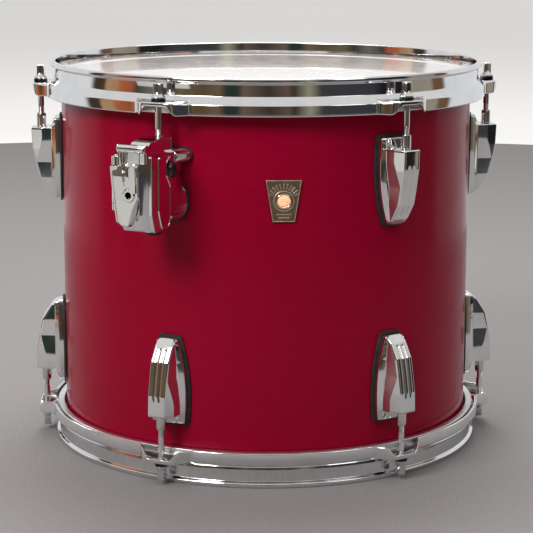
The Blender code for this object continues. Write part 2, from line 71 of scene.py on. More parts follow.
# ---- driving sizes, read from the frame ----
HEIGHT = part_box("batter_hoop")[1].z
SHELL_LOW, SHELL_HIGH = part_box("shell")
SHELL_RADIUS = SHELL_HIGH.x
ROD_RADIUS = centre_of("batter_rod_2").xy.length
LUG_CENTRE = HEIGHT - centre_of("batter_lug_gasket_2").z     # down from the rim
BADGE_PLACE = centre_of("badge")
ROD_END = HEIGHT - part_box("batter_rod_2")[0].z
NUT_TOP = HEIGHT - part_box("batter_nut_2")[1].z
NUT_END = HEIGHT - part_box("batter_nut_2")[0].z
FILM_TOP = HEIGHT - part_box("batter_head")[1].z

STATIONS = 6
FIRST_STATION = -45
STATION_STEP = 360 / STATIONS
BADGE_AZIMUTH = FIRST_STATION + STATION_STEP / 2
SIDES = (("batter", False), ("resonant", True))

# ---- shell ----
SHELL_WALL = 0.0065
CREST = SHELL_RADIUS - 0.0022
EASE = 0.0040
VENT_HOLE = 0.0058
VENT_Z = BADGE_PLACE.z

# ---- hoops, measured down from the rim ----
BEAD_RADIUS = 0.1864
WALL_RADIUS = 0.1836
HOOP_SHEET = 0.0023
WALL_END = 0.0146
SHOULDER, SHOULDER_RADIUS = 0.0178, 0.1866
UNDER_SHOULDER, UNDER_RADIUS = 0.0206, 0.1850
SKIRT_RADIUS = 0.1893
SKIRT_TOP = 0.0210
SKIRT_END = 0.0298
EAR_TOP = 0.0188
EAR_END = 0.0224
EAR_RADIUS = 0.2013
EAR_FLAT, EAR_BASE = 0.010, 0.026
NOTCH_FLAT, NOTCH_BASE = 0.008, 0.016
ROD_HOLE = 0.0034
EAR_STEPS = 26
ROUND_STEPS = 34

# ---- heads, measured down from the rim ----
FILM = 0.00025
FLESH_TOP = 0.0217
FLESH_END = 0.0290
FLESH_INNER = 0.1790
FLESH_OUTER = 0.1847

# ---- rods, washers and swivel nuts ----
SHANK = 0.0026
THREAD_ROOT = 0.0021
THREAD_PITCH = 0.0254 / 24
THREAD_ROWS = ((0.0, SHANK), (0.18, SHANK), (0.5, THREAD_ROOT), (0.68, THREAD_ROOT))  # share of a pitch
THREAD_TOP = 0.0400
ROD_STEPS = 24
FLANGE = 0.0056
NECK = 0.0034
SQUARE = 0.0063
ROD_TOP = 0.0044
SQUARE_END = 0.0116
CONE_END = 0.0162
WASHER = 0.0059
NUT_RADIUS = 0.0040
NUT_BORE = 0.0031

# ---- lugs, heights from the lug's middle, rod end up ----
GASKET_HALF = 0.0372
GASKET_BACK = 0.0005
GASKET_THICK = 0.0016
LUG_WIDE = 0.0179            # half width of the gasket where it is widest
LUG_WIDEST = 0.0140
LUG_TAPER = 0.0082           # how much narrower its far end is
LUG_BOW = 2.15
LUG_INSET = 0.0022           # from the gasket's edge to the casting
LUG_EASE = 0.0016            # rounding at the ends of the casting and of its fin
PLINTH_EDGE = 0.0062         # height over the shell at the plinth's rim
PLINTH_TOP = 0.0090
PLINTH_SHOULDER = 0.0034
NARROW_SLOPE = 0.0026        # length of the plinth's slope at each end
ROD_SLOPE = 0.0085
FIN_HALF = 0.0074
FIN_KNEE = 0.0090            # depth below the front where a side turns steeper
FIN_DRAFT, FIN_STEEP = 0.44, 0.15    # spread of a side above and below its knee
FIN_END = 0.0265
FIN_PROFILE = (              # height and radius of the fin's front
    (-0.0338, 0.1852, 0), (-0.0300, 0.1895, 0.0040), (-0.0178, 0.1972, 0.0050),
    (-0.0060, 0.1998, 0.0150), (0.0100, 0.2026, 0.0300), (0.0265, 0.2033, 0),
)
FIN_FACE = 0.84              # share of the front's half width before its corners
FLUTE, FLUTE_LOW, FLUTE_HIGH = 0.0010, -0.0282, 0.0145
LUG_BORE = 0.0045
SCREW_WASHER, SCREW_WASHER_THICK = 0.0062, 0.0011
SCREW_HEAD, SCREW_SHANK = 0.0040, 0.0020
SCREW_Z = 0.024

# ---- fineness and tolerances ----
FILLET_STEPS = 3
LEAST_HALF_ANGLE = 0.05      # of a corner, in radians
LONGEST_REACH = 0.48         # of a rounding, as a share of the side it eats into
ON_AXIS = 1e-7
WELD, SLIVER = 0.000002, 0.000001
ROUND = 288                  # steps round the drum
SHARP = 35                   # degrees between faces, beyond which an edge is sharp


# ---- numbers and outlines ----
def blend(a, b, share):
    return a + (b - a) * share


def spaced(a, b, steps):
    """Evenly spaced values from a to b."""
    return [blend(a, b, i / steps) for i in range(steps + 1)]


def crowded(a, b, steps):
    """Values from a to b that crowd together at both ends."""
    return [blend(a, b, (1 - math.cos(math.pi * i / steps)) / 2) for i in range(steps + 1)]


def smoothstep(start, end, value):
    """0 at start, 1 at end and beyond."""
    t = min(1, max(0, (value - start) / (end - start)))
    return t * t * (3 - 2 * t)


def on_circle(azimuth, radius, z):
    """A point at an azimuth in degrees."""
    angle = math.radians(azimuth)
    return Vector((radius * math.sin(angle), -radius * math.cos(angle), z))


def on_arc(x, radius):
    """The y of a point on the arc of that radius about the drum's axis, at azimuth 0."""
    return -math.sqrt(radius * radius - x * x)


def eased_edge(inside, radius):
    """How far a face falls back at that distance inside its rounded edge."""
    over = min(radius, max(0.0, radius - inside))
    return radius - math.sqrt(max(0.0, radius * radius - over * over))


def filleted(corners, steps=FILLET_STEPS, closed=True):
    """An outline of (a, b, radius) corners with each corner rounded off.

    A corner with a radius of 0 stays one point, and any other becomes steps + 1 points.
    """
    outline = []
    count = len(corners)
    for i, (a, b, radius) in enumerate(corners):
        here = Vector((a, b))
        end = not closed and i in (0, count - 1)
        if radius == 0 or end:
            outline.append(here)
            continue
        before = Vector(corners[i - 1][:2]) - here
        after = Vector(corners[(i + 1) % count][:2]) - here
        half = max(before.angle(after, math.pi) / 2, LEAST_HALF_ANGLE)
        longest = LONGEST_REACH * min(before.length, after.length)
        reach = min(radius / math.tan(half), longest)
        start = here + before.normalized() * reach
        stop = here + after.normalized() * reach
        for k in range(steps + 1):
            t = k / steps
            outline.append(start * (1 - t) ** 2 + here * 2 * t * (1 - t) + stop * t * t)
    return outline


FIN_CURVE = filleted(FIN_PROFILE, 8, closed=False)


# ---- shapes: (points, faces) pairs ----
def loft(sections, closed=False, capped=True):
    """The skin through rows of points that have the same length."""
    size, count = len(sections[0]), len(sections)
    points = [tuple(point) for section in sections for point in section]
    faces = []
    for i in range(count if closed else count - 1):
        here, there = i * size, (i + 1) % count * size
        for j in range(size):
            k = (j + 1) % size
            faces.append((here + j, here + k, there + k, there + j))
    if capped and not closed:
        faces.append(tuple(reversed(range(size))))
        faces.append(tuple(range((count - 1) * size, count * size)))
    return points, faces


def lathe(profile, steps=48, ring=False):
    """A solid of revolution about z. An open profile starts and ends on the axis."""
    points, faces, starts = [], [], []
    for r, z in profile:
        on_axis = r < ON_AXIS
        starts.append((len(points), on_axis))
        for k in range(1 if on_axis else steps):
            turn = 2 * math.pi * k / steps
            points.append((r * math.cos(turn), r * math.sin(turn), z))
    pairs = list(zip(starts, starts[1:])) + ([(starts[-1], starts[0])] if ring else [])
    for (a, a_point), (b, b_point) in pairs:
        for k in range(steps):
            n = (k + 1) % steps
            corners = [a if a_point else a + k, b if b_point else b + k]
            corners += [b if b_point else b + n, a if a_point else a + n]
            faces.append(tuple(dict.fromkeys(corners)))
    return points, faces


def turned(corners, rounds, steps):
    """A solid of revolution from (radius, height, rounding) corners, first and last on the axis."""
    return lathe(filleted(corners, rounds, closed=False), steps)


def turned_ring(corners, rounds, steps):
    """A ring about z from (radius, height, rounding) corners."""
    return lathe(filleted(corners, rounds), steps, ring=True)


def joined(*shapes):
    """Several shapes as one list of points and faces."""
    points, faces = [], []
    for some, their in shapes:
        first = len(points)
        points += some
        faces += [tuple(i + first for i in face) for face in their]
    return points, faces


def moved(shape, matrix):
    points, faces = shape
    return [tuple(matrix @ Vector(point)) for point in points], faces


def linked_object(name, data):
    obj = bpy.data.objects.new(name, data)
    bpy.context.scene.collection.objects.link(obj)
    return obj


def with_edges(mesh, sharp):
    """The mesh shaded smooth, but for edges sharper than an angle in degrees."""
    mesh.shade_smooth()
    mesh.set_sharp_from_angle(angle=math.radians(sharp))
    return mesh


def made_mesh(name, shape, finish, sharp=SHARP):
    """A welded mesh with its faces turned outwards and its sharp edges marked."""
    points, faces = shape
    mesh = bpy.data.meshes.new(name)
    mesh.from_pydata(points, [], faces)
    bm = bmesh.new()
    bm.from_mesh(mesh)
    bmesh.ops.remove_doubles(bm, verts=bm.verts, dist=WELD)
    bmesh.ops.dissolve_degenerate(bm, edges=bm.edges, dist=SLIVER)
    bmesh.ops.recalc_face_normals(bm, faces=bm.faces)
    bm.to_mesh(mesh)
    bm.free()
    mesh.materials.append(finish)
    return with_edges(mesh, sharp)


def cut(mesh, tools, sharp=SHARP, operation="DIFFERENCE"):
    """The mesh less a shape, or less several that don't touch each other."""
    obj = linked_object("blank", mesh)
    knife = linked_object("knife", made_mesh("knife", tools, mesh.materials[0]))
    mod = obj.modifiers.new("Cut", "BOOLEAN")
    mod.operation = operation
    mod.solver = "MANIFOLD"
    mod.object = knife
    bpy.context.view_layer.update()
    graph = bpy.context.evaluated_depsgraph_get()
    result = bpy.data.meshes.new_from_object(obj.evaluated_get(graph))
    bpy.data.objects.remove(obj)
    bpy.data.objects.remove(knife)
    return with_edges(result, sharp)


def drilled(mesh, holes, sharp=SHARP):
    """The mesh less shapes that may run into each other, one by one."""
    for hole in holes:
        mesh = cut(mesh, hole, sharp)
    return mesh


def fused(mesh, shapes, sharp=SHARP):
    """The mesh and shapes that overlap it, as one body."""
    for shape in shapes:
        mesh = cut(mesh, shape, sharp, "UNION")
    return mesh


def rod_cylinder(radius, low, high, centre=(0, 0), steps=32):
    """An upright cylinder as a shape, for cutting."""
    shape = lathe([(0, low), (radius, low), (radius, high), (0, high)], steps)
    return moved(shape, Matrix.Translation((*centre, 0)))


def piece(name, mesh, body, nodes=(), matrix=None):
    """Show a mesh as one piece that rides on a body and stands for CAD nodes.

    The place goes into the piece's own copy of the mesh, so that every piece's points, and
    with them its materials' coordinates, are in the drum's frame.
    """
    if matrix is not None:
        mesh = mesh.copy()
        mesh.transform(matrix)
    obj = linked_object(name, mesh)
    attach(obj, body)
    if nodes:
        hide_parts(*nodes)


def stations():
    """Each tension rod's number and azimuth."""
    return [(i + 1, FIRST_STATION + i * STATION_STEP) for i in range(STATIONS)]


def flip(upside_down):
    """Turn a piece over, so that its rim lies at the other end of the drum."""
    if not upside_down:
        return Matrix.Identity(4)
    return Matrix.Translation((0, 0, HEIGHT)) @ Matrix.Rotation(math.pi, 4, "Y")


def turned_over(upside_down):
    return Matrix.Rotation(math.pi if upside_down else 0, 4, "Y")


def turn(azimuth):
    return Matrix.Rotation(math.radians(azimuth), 4, "Z")


OUTWARDS = Matrix.Rotation(math.pi / 2, 4, "X")        # from z to outwards at azimuth 0
# Screws are drawn from the wall into the shell's inside, with their heads along +z.
INWARDS = Matrix.Rotation(-math.pi / 2, 4, "X")


# ---- materials ----
class Graph:
    """A node tree, with short calls for the nodes used here."""

    def __init__(self, tree):
        self.tree = tree

    def add(self, kind, **settings):
        node = self.tree.nodes.new(kind)
        for key, value in settings.items():
            setattr(node, key, value)
        return node

    def feed(self, socket, value):
        """Give a socket a value, or link another node's output to it."""
        if isinstance(value, bpy.types.NodeSocket):
            self.tree.links.new(value, socket)
        elif value is not None:
            socket.default_value = value

    def fed(self, kind, output, **inputs):
        """One output of a new node, whose inputs are fed by name."""
        node = self.add(kind)
        for key, value in inputs.items():
            self.feed(node.inputs[key.replace("_", " ")], value)
        return node.outputs[output]

    def math(self, operation, a, b=None):
        node = self.add("ShaderNodeMath", operation=operation)
        self.feed(node.inputs[0], a)
        self.feed(node.inputs[1], b)
        return node.outputs[0]

    def weighted(self, a, a_share, b, b_share):
        return self.math("ADD", self.math("MULTIPLY", a, a_share), self.math("MULTIPLY", b, b_share))

    def split(self, vector):
        parts = self.add("ShaderNodeSeparateXYZ")
        self.feed(parts.inputs[0], vector)
        return parts.outputs

    def ramp(self, fac, stops):
        """Colours along a value, as (position, (r, g, b)) stops."""
        node = self.add("ShaderNodeValToRGB")
        elements = node.color_ramp.elements
        while len(elements) < len(stops):
            elements.new(0.5)
        for element, (position, colour) in zip(elements, stops):
            element.position = position
            element.color = (*colour, 1)
        self.feed(node.inputs["Fac"], fac)
        return node.outputs["Color"]

    def mix(self, fac, a, b):
        """Colour a where the value is 0 and colour b where it is 1."""
        node = self.add("ShaderNodeMix", data_type="RGBA")
        self.feed(node.inputs["Factor"], fac)
        self.feed(node.inputs[6], a)
        self.feed(node.inputs[7], b)
        return node.outputs[2]


class Material(Graph):
    """A material, whose values are found from the point in the drum's frame."""

    def __init__(self, name, **values):
        self.material = bpy.data.materials.new(name)
        self.material.use_nodes = True
        super().__init__(self.material.node_tree)
        self.inputs = self.tree.nodes["Principled BSDF"].inputs
        self.point = self.add("ShaderNodeTexCoord").outputs["Object"]
        for key, value in values.items():
            self.feed(self.inputs[key.replace("_", " ")], value)

    def around(self, turn_scale, height_scale):
        """Arc length, height and radius about the drum's axis, for grain that runs round it."""
        x, y, z = self.split(self.point)
        angle = self.math("ARCTAN2", x, y)
        squares = [self.math("MULTIPLY", side, side) for side in (x, y)]
        radius = self.math("SQRT", self.math("ADD", *squares))
        vector = self.fed(
            "ShaderNodeCombineXYZ", 0,
            X=self.math("MULTIPLY", angle, turn_scale),
            Y=self.math("MULTIPLY", z, height_scale),
            Z=self.math("MULTIPLY", radius, height_scale),
        )
        return vector, radius

    def noise(self, vector, scale, detail=3, roughness=0.5):
        return self.fed(
            "ShaderNodeTexNoise", "Fac", Vector=vector, Scale=scale, Detail=detail, Roughness=roughness
        )

    def span(self, fac, low, high):
        """A noise's middle values spread over low..high."""
        return self.fed(
            "ShaderNodeMapRange", "Result", Value=fac, From_Min=0.3, From_Max=0.7, To_Min=low, To_Max=high
        )

    def surface(self, colour, rough=None, relief=None):
        """Colours along a value, roughness spread by a value, and fine relief from a value."""
        self.feed(self.inputs["Base Color"], self.ramp(*colour))
        if rough:
            self.feed(self.inputs["Roughness"], self.span(*rough))
        if relief:
            height, strength, distance = relief
            normal = self.fed("ShaderNodeBump", "Normal", Height=height, Strength=strength, Distance=distance)
            self.feed(self.inputs["Normal"], normal)
        return self.material


def plated(name, bright, dull, smooth, worn, ripple=0.05):
    """Plated metal: a mirror with faint smears, fine scratches and a hint of casting ripple."""
    m = Material(name, Metallic=1.0)
    smear = m.noise(m.point, 55, 5, 0.6)
    stretched = m.fed("ShaderNodeMapping", "Vector", Vector=m.point, Scale=(900, 900, 180))
    fine = m.noise(stretched, 1.0, 2)
    return m.surface(
        (smear, [(0.25, dull), (0.62, bright)]),
        (m.weighted(smear, 0.7, fine, 0.3), smooth, worn),
        (m.noise(m.point, 90, 2), ripple, 0.0004),
    )


def lacquer():
    """Deep red lacquer over stained veneer, whose grain runs round the shell."""
    coat = {"Coat_Weight": 0.8, "Coat_Roughness": 0.16, "Coat_IOR": 1.17}
    m = Material("red_lacquer", Metallic=0.0, Specular_IOR_Level=0.04, **coat)
    along, _ = m.around(6, 260)
    grain = m.noise(along, 1.0, 5, 0.62)
    broad = m.noise(m.point, 7, 2)
    dark, middle, light = (0.27, 0.0003, 0.0175), (0.31, 0.0005, 0.0225), (0.345, 0.0010, 0.0265)
    return m.surface(
        (m.weighted(grain, 0.45, broad, 0.55), [(0.3, dark), (0.52, middle), (0.72, light)]),
        (m.noise(m.point, 38, 4), 0.34, 0.42),
        (m.noise(m.point, 420, 2), 0.035, 0.0003),
    )


def bare_wood():
    """The maple plies inside the shell and across its edges."""
    m = Material("maple_plies", Specular_IOR_Level=0.35)
    along, _ = m.around(9, 420)
    grain = m.noise(along, 1.0, 6, 0.65)
    shades = [(0.25, (0.42, 0.22, 0.10)), (0.5, (0.62, 0.38, 0.20)), (0.75, (0.74, 0.50, 0.29))]
    return m.surface((grain, shades), (grain, 0.5, 0.66), (grain, 0.12, 0.0004))


def film():
    """A smooth white polyester head with the faint marks of playing."""
    m = Material("polyester_film", Specular_IOR_Level=0.5, Coat_Weight=0.8, Coat_Roughness=0.05)
    marks = m.noise(m.point, 16, 6, 0.65)
    return m.surface(
        (marks, [(0.25, (0.82, 0.765, 0.735)), (0.7, (0.90, 0.845, 0.815))]),
        (m.noise(m.point, 60, 5, 0.6), 0.14, 0.24),
        (m.noise(m.point, 60, 2), 0.02, 0.0002),
    )


def aluminium():
    """The rolled flesh hoop, brushed along its length."""
    m = Material("rolled_aluminium", Metallic=1.0)
    along, _ = m.around(14, 1500)
    brushed = m.noise(along, 1.0, 3)
    shades = [(0.3, (0.74, 0.73, 0.73)), (0.7, (0.86, 0.85, 0.85))]
    return m.surface((brushed, shades), (brushed, 0.26, 0.4), (brushed, 0.06, 0.0002))


def rubber():
    """Matt black gasket rubber with a moulded grain and a little dust."""
    m = Material("gasket_rubber", Specular_IOR_Level=0.35)
    dust = m.noise(m.point, 130, 6, 0.7)
    shades = [(0.35, (0.010, 0.010, 0.011)), (0.75, (0.045, 0.043, 0.042))]
    return m.surface((dust, shades), (dust, 0.5, 0.72), (m.noise(m.point, 2400, 3), 0.18, 0.0002))


def blackened():
    """Black oxide steel, rubbed a little grey in random patches."""
    m = Material("blackened_steel", Metallic=0.85)
    rub = m.noise(m.point, 240, 5, 0.6)
    shades = [(0.35, (0.018, 0.018, 0.020)), (0.8, (0.07, 0.068, 0.066))]
    return m.surface((rub, shades), (rub, 0.2, 0.36), (rub, 0.05, 0.0002))


def gloss_black():
    """Smooth black moulding with fine scratches."""
    m = Material("gloss_black", Specular_IOR_Level=0.5, Coat_Weight=0.5, Coat_Roughness=0.08)
    rub = m.noise(m.point, 320, 5, 0.6)
    shades = [(0.35, (0.010, 0.010, 0.011)), (0.8, (0.028, 0.027, 0.027))]
    return m.surface((rub, shades), (rub, 0.16, 0.3), (m.noise(m.point, 900, 2), 0.04, 0.0002))


def aged_brass():
    """Cast badge metal: brown in its recesses and rubbed bright on its raised lines."""
    m = Material("aged_brass", Metallic=0.82)
    _, radius = m.around(1, 1)
    face = SHELL_RADIUS + BADGE_BACK + BADGE_SHEET
    height = m.math("DIVIDE", m.math("SUBTRACT", radius, face), RELIEF)
    stain = m.noise(m.point, 260, 5, 0.6)
    mixed = m.math("ADD", height, m.math("MULTIPLY", m.math("SUBTRACT", stain, 0.5), 0.8))
    shades = [(0.05, (0.24, 0.175, 0.115)), (0.5, (0.36, 0.27, 0.18)), (0.95, (0.62, 0.49, 0.35))]
    return m.surface((mixed, shades), (stain, 0.3, 0.5), (stain, 0.12, 0.0002))


def make_materials():
    mirror, shade = (0.86, 0.86, 0.87), (0.76, 0.765, 0.775)
    rod, rod_shade = (0.82, 0.82, 0.83), (0.7, 0.7, 0.71)
    nickel, nickel_shade = (0.68, 0.67, 0.65), (0.56, 0.55, 0.54)
    brass, brass_shade = (0.90, 0.78, 0.66), (0.80, 0.66, 0.52)
    return {
        "hoop": plated("hoop_plating", mirror, shade, 0.035, 0.085, 0.02),
        "lug": plated("cast_plating", mirror, shade, 0.045, 0.11),
        "rod": plated("rod_plating", rod, rod_shade, 0.07, 0.16),
        "nut": plated("nickel_steel", nickel, nickel_shade, 0.12, 0.24),
        "eyelet": plated("polished_brass", brass, brass_shade, 0.08, 0.18, 0.03),
        "lacquer": lacquer(),
        "wood": bare_wood(),
        "film": film(),
        "aluminium": aluminium(),
        "rubber": rubber(),
        "black": blackened(),
        "gloss_black": gloss_black(),
        "badge": aged_brass(),
    }


# ---- shell, badge and vent ----
BADGE_BACK = 0.0006
BADGE_SHEET = 0.0007
RELIEF = 0.00035
BADGE_HALF = 0.0166
BADGE_WIDE, BADGE_SLIM = 0.0143, 0.0088
BADGE_ROWS, BADGE_COLUMNS = 120, 96
BADGE_EASE = 0.00025
RING_RADIUS = 0.0078
FAN_INNER, FAN_OUTER = 0.0092, 0.0140
FAN_START, FAN_STOP, RAY_STEP = 25, 155, 13      # degrees
BARS = ((-0.0106, 0.0062), (-0.0132, 0.0046))    # height and half length
DRILL = 0.02


def make_shell():
    """The turned shell. Lacquer ends at the eased outer edge and bare plies start there."""
    inner = SHELL_RADIUS - SHELL_WALL
    slope = CREST - inner
    low, top = SHELL_LOW.z, SHELL_HIGH.z
    corners = [
        (SHELL_RADIUS, top - EASE, 0.006), (CREST, top, 0.0006), (inner, top - slope, 0.001),
        (inner, low + slope, 0.001), (CREST, low, 0.0006), (SHELL_RADIUS, low + EASE, 0.006),
    ]
    mesh = made_mesh("shell_wood", turned_ring(corners, 5, ROUND), FINISH["lacquer"], 30)
    mesh.materials.append(FINISH["wood"])
    for face in mesh.polygons:
        radius = Vector(face.center[:2]).length
        face.material_index = int(radius < CREST - 0.0002)
    vent = moved(rod_cylinder(VENT_HOLE, -DRILL, DRILL), vent_place())
    mesh = cut(mesh, vent, 30)
    piece("shell_wood_shell", mesh, "drum", ["shell"])


def vent_place():
    """From z up to the vent's own axis, with its origin on the shell's surface."""
    centre = on_circle(BADGE_AZIMUTH, SHELL_RADIUS, VENT_Z)
    return Matrix.Translation(centre) @ turn(BADGE_AZIMUTH) @ OUTWARDS


def badge_half(z):
    """Half width of the badge at a height from its middle."""
    return blend(BADGE_SLIM, BADGE_WIDE, (z + BADGE_HALF) / (2 * BADGE_HALF))


def relief(x, z):
    """0 to 1: a raised border, a ring round the vent, a fan of rays and two plain bars."""
    to_side = (badge_half(z) - abs(x)) * 0.98
    to_end = BADGE_HALF - abs(z)
    border = 1 - smoothstep(0.0006, 0.0010, min(to_side, to_end))
    reach = math.hypot(x, z)
    ring = 1 - smoothstep(0.0003, 0.0006, abs(reach - RING_RADIUS))
    angle = math.degrees(math.atan2(z, x))
    in_fan = FAN_START < angle < FAN_STOP and FAN_INNER < reach < FAN_OUTER
    rays = (angle - 90) / RAY_STEP
    ray = abs(rays - round(rays)) * RAY_STEP
    fan = 1 - smoothstep(2.2, 4.2, ray) if in_fan else 0
    bar = 0
    for height, half in BARS:
        if abs(x) < half:
            bar = max(bar, 1 - smoothstep(0.0003, 0.0006, abs(z - height)))
    return max(border, ring, 0.8 * fan, 0.9 * bar)


def make_badge():
    """A thin tapered plate, curved to the shell, with a generic raised pattern."""
    back = SHELL_RADIUS + BADGE_BACK
    sections = []
    for z in spaced(-BADGE_HALF, BADGE_HALF, BADGE_ROWS):
        half = badge_half(z)
        xs = spaced(-half, half, BADGE_COLUMNS)
        front = []
        for x in xs:
            edge = min(half - abs(x), BADGE_HALF - abs(z))
            face = back + BADGE_SHEET - BADGE_EASE * (1 - smoothstep(0, 0.0004, edge))
            front.append((x, on_arc(x, face + RELIEF * relief(x, z)), z))
        rear = [(x, on_arc(x, back), z) for x in reversed(xs)]
        sections.append(front + rear)
    mesh = made_mesh("badge_plate", loft(sections), FINISH["badge"], 50)
    on_shell = Matrix.Translation((0, -SHELL_RADIUS, 0)) @ OUTWARDS
    mesh = cut(mesh, moved(rod_cylinder(VENT_HOLE, -DRILL, DRILL), on_shell), 50)
    place = Matrix.Translation((0, 0, VENT_Z)) @ turn(BADGE_AZIMUTH)
    piece("badge_plate", mesh, "drum", ["badge"], place)


def make_eyelet():
    """The vent's rolled eyelet through badge and shell."""
    face = BADGE_BACK + BADGE_SHEET + RELIEF
    corners = [
        (0.0050, face + 0.0012, 0.0006), (0.0062, face + 0.0010, 0.0006),
        (0.0063, face + 0.0001, 0.0002), (0.0053, face + 0.0001, 0.0002),
        (0.0053, -SHELL_WALL - 0.0009, 0.0003), (0.0047, -SHELL_WALL - 0.0009, 0.0003),
    ]
    mesh = made_mesh("vent_eyelet", turned_ring(corners, 4, 64), FINISH["eyelet"])
    piece("vent_eyelet", mesh, "drum", ["vent_grommet"], vent_place())


# ---- heads ----
def film_profile(drop):
    """The film's upper side from its middle to its seat, or its lower side at a drop."""
    z = HEIGHT - FILM_TOP
    corners = [
        (0, z, 0), (0.1754, z, 0.0020), (0.1785, z - 0.0026, 0.0020),
        (0.1801, HEIGHT - FLESH_TOP - 0.0004, 0.0015), (0.1812, HEIGHT - FLESH_TOP - 0.0022, 0),
    ]
    outline = filleted(corners, 6, closed=False)
    return [Vector((max(0, p.x - drop * 0.7), p.y - drop)) for p in outline]


def make_head(side, upside_down):
    """The film, and the aluminium flesh hoop that grips its edge."""
    place = flip(upside_down)
    top, under = film_profile(0), film_profile(FILM)
    mesh = made_mesh("film_" + side, lathe(top + under[::-1], ROUND), FINISH["film"])
    piece(f"{side}_film", mesh, "drum", [f"{side}_head"], place)
    z_top, z_low = HEIGHT - FLESH_TOP, HEIGHT - FLESH_END
    corners = [
        (FLESH_OUTER - 0.0024, z_top, 0.0006), (FLESH_OUTER, z_top - 0.0008, 0.0007),
        (FLESH_OUTER, z_low, 0.0008), (FLESH_INNER, z_low, 0.0008),
        (FLESH_INNER, z_low + 0.0040, 0.0005), (0.1806, z_low + 0.0040, 0.0005),
        (0.1822, z_top - 0.0002, 0.0004),
    ]
    ring = turned_ring(corners, FILLET_STEPS, ROUND)
    mesh = made_mesh("flesh_" + side, ring, FINISH["aluminium"])
    piece(f"{side}_flesh_hoop", mesh, "drum", [f"{side}_head"], place)


# ---- hoops ----
def hoop_section(offset):
    """The hoop's outline, as radius and height, that far along the skirt from an ear."""
    ear = smoothstep(EAR_BASE, EAR_FLAT, offset)
    notch = smoothstep(NOTCH_BASE, NOTCH_FLAT, offset)
    inner = WALL_RADIUS - HOOP_SHEET
    skirt = blend(SKIRT_RADIUS, EAR_RADIUS, ear)
    corner = blend(SKIRT_TOP, EAR_TOP, ear)
    end = blend(SKIRT_END, EAR_END, notch)
    shoulder = blend(SHOULDER, EAR_TOP, ear)
    corners = [
        (inner + 0.0004, 0, 0.0009), (BEAD_RADIUS - 0.0007, 0.0001, 0.0016),
        (BEAD_RADIUS, 0.0036, 0.0014), (WALL_RADIUS, 0.0050, 0.0007),
        (WALL_RADIUS, WALL_END, 0.0012), (SHOULDER_RADIUS, shoulder, 0.0012),
        (skirt, corner, 0.0018), (skirt, end, 0.0009), (skirt - HOOP_SHEET, end, 0.0009),
        (skirt - HOOP_SHEET, corner + blend(0.0020, HOOP_SHEET, ear), 0.0008),
        (UNDER_RADIUS, blend(UNDER_SHOULDER, EAR_TOP + 0.0022, ear), 0.0008),
        (inner, WALL_END + 0.0016, 0.0014),
    ]
    return filleted(corners)


def hoop_azimuths():
    """Azimuths round the hoop, each with its distance to the nearest ear."""
    offsets = [EAR_BASE * i / EAR_STEPS for i in range(EAR_STEPS + 1)]
    spread = [(math.degrees(s / SKIRT_RADIUS), s) for s in offsets]
    ear = [(-a, s) for a, s in spread[:0:-1]] + spread
    edge = spread[-1][0]
    plain = STATION_STEP - 2 * edge
    ear += [(edge + plain * i / ROUND_STEPS, EAR_BASE) for i in range(1, ROUND_STEPS)]
    for _, azimuth in stations():
        for angle, offset in ear:
            yield azimuth + angle, offset


def make_hoop(side, upside_down):
    """The pressed hoop: rolled bead, wall and skirt, with an ear at each rod."""
    sign = -1 if upside_down else 1
    sections = []
    for azimuth, offset in hoop_azimuths():
        outline = hoop_section(offset)
        sections.append([on_circle(sign * azimuth, p.x, HEIGHT - p.y) for p in outline])
    mesh = made_mesh(f"{side}_hoop_sheet", loft(sections, closed=True), FINISH["hoop"], 50)
    low, high = HEIGHT - EAR_END - 0.003, HEIGHT - EAR_TOP + 0.003
    holes = []
    for _, azimuth in stations():
        centre = on_circle(sign * azimuth, ROD_RADIUS, 0)
        holes.append(rod_cylinder(ROD_HOLE, low, high, centre.xy))
    mesh = cut(mesh, joined(*holes), 50)
    name = f"{side}_hoop"
    piece(f"{name}_pressing", mesh, name, [name], flip(upside_down))


# ---- rods, washers and swivel nuts ----
def threaded(low, high, steps=ROD_STEPS):
    """A helical thread's skin between two heights, which ends flush at the crest's radius."""
    turns = math.ceil((high - low) / THREAD_PITCH) + 1
    points, faces = [], []
    rows = len(THREAD_ROWS)
    count = (turns + 1) * rows
    for k in range(count):
        part, radius = THREAD_ROWS[k % rows]
        for c in range(steps):
            z = low + (k // rows - 1 + part + c / steps) * THREAD_PITCH
            inside = low < z < high
            at = min(high, max(low, z))
            reach = radius if inside else SHANK
            angle = 2 * math.pi * c / steps
            points.append((reach * math.cos(angle), reach * math.sin(angle), at))
    for k in range(count - 1):
        for c in range(steps):
            n, step = (c + 1, 0) if c + 1 < steps else (0, rows)
            if k + 1 + step < count:
                here, there = k * steps, (k + 1) * steps
                shift = step * steps
                faces.append((here + c, here + shift + n, there + shift + n, there + c))
    return points, faces


def square_head():
    """The drum-key square, eased at its corners and domed at its top."""
    half = SQUARE / 2
    rows = [
        (half, -SQUARE_END - 0.0012), (half, -ROD_TOP - 0.0008),
        (half - 0.00025, -ROD_TOP - 0.0003), (half - 0.0009, -ROD_TOP),
    ]
    sections = []
    for reach, z in rows:
        signs = ((-1, -1), (1, -1), (1, 1), (-1, 1))
        corners = [(sx * reach, sy * reach, 0.0008) for sx, sy in signs]
        sections.append([(p.x, p.y, z) for p in filleted(corners, 4)])
    return loft(sections)


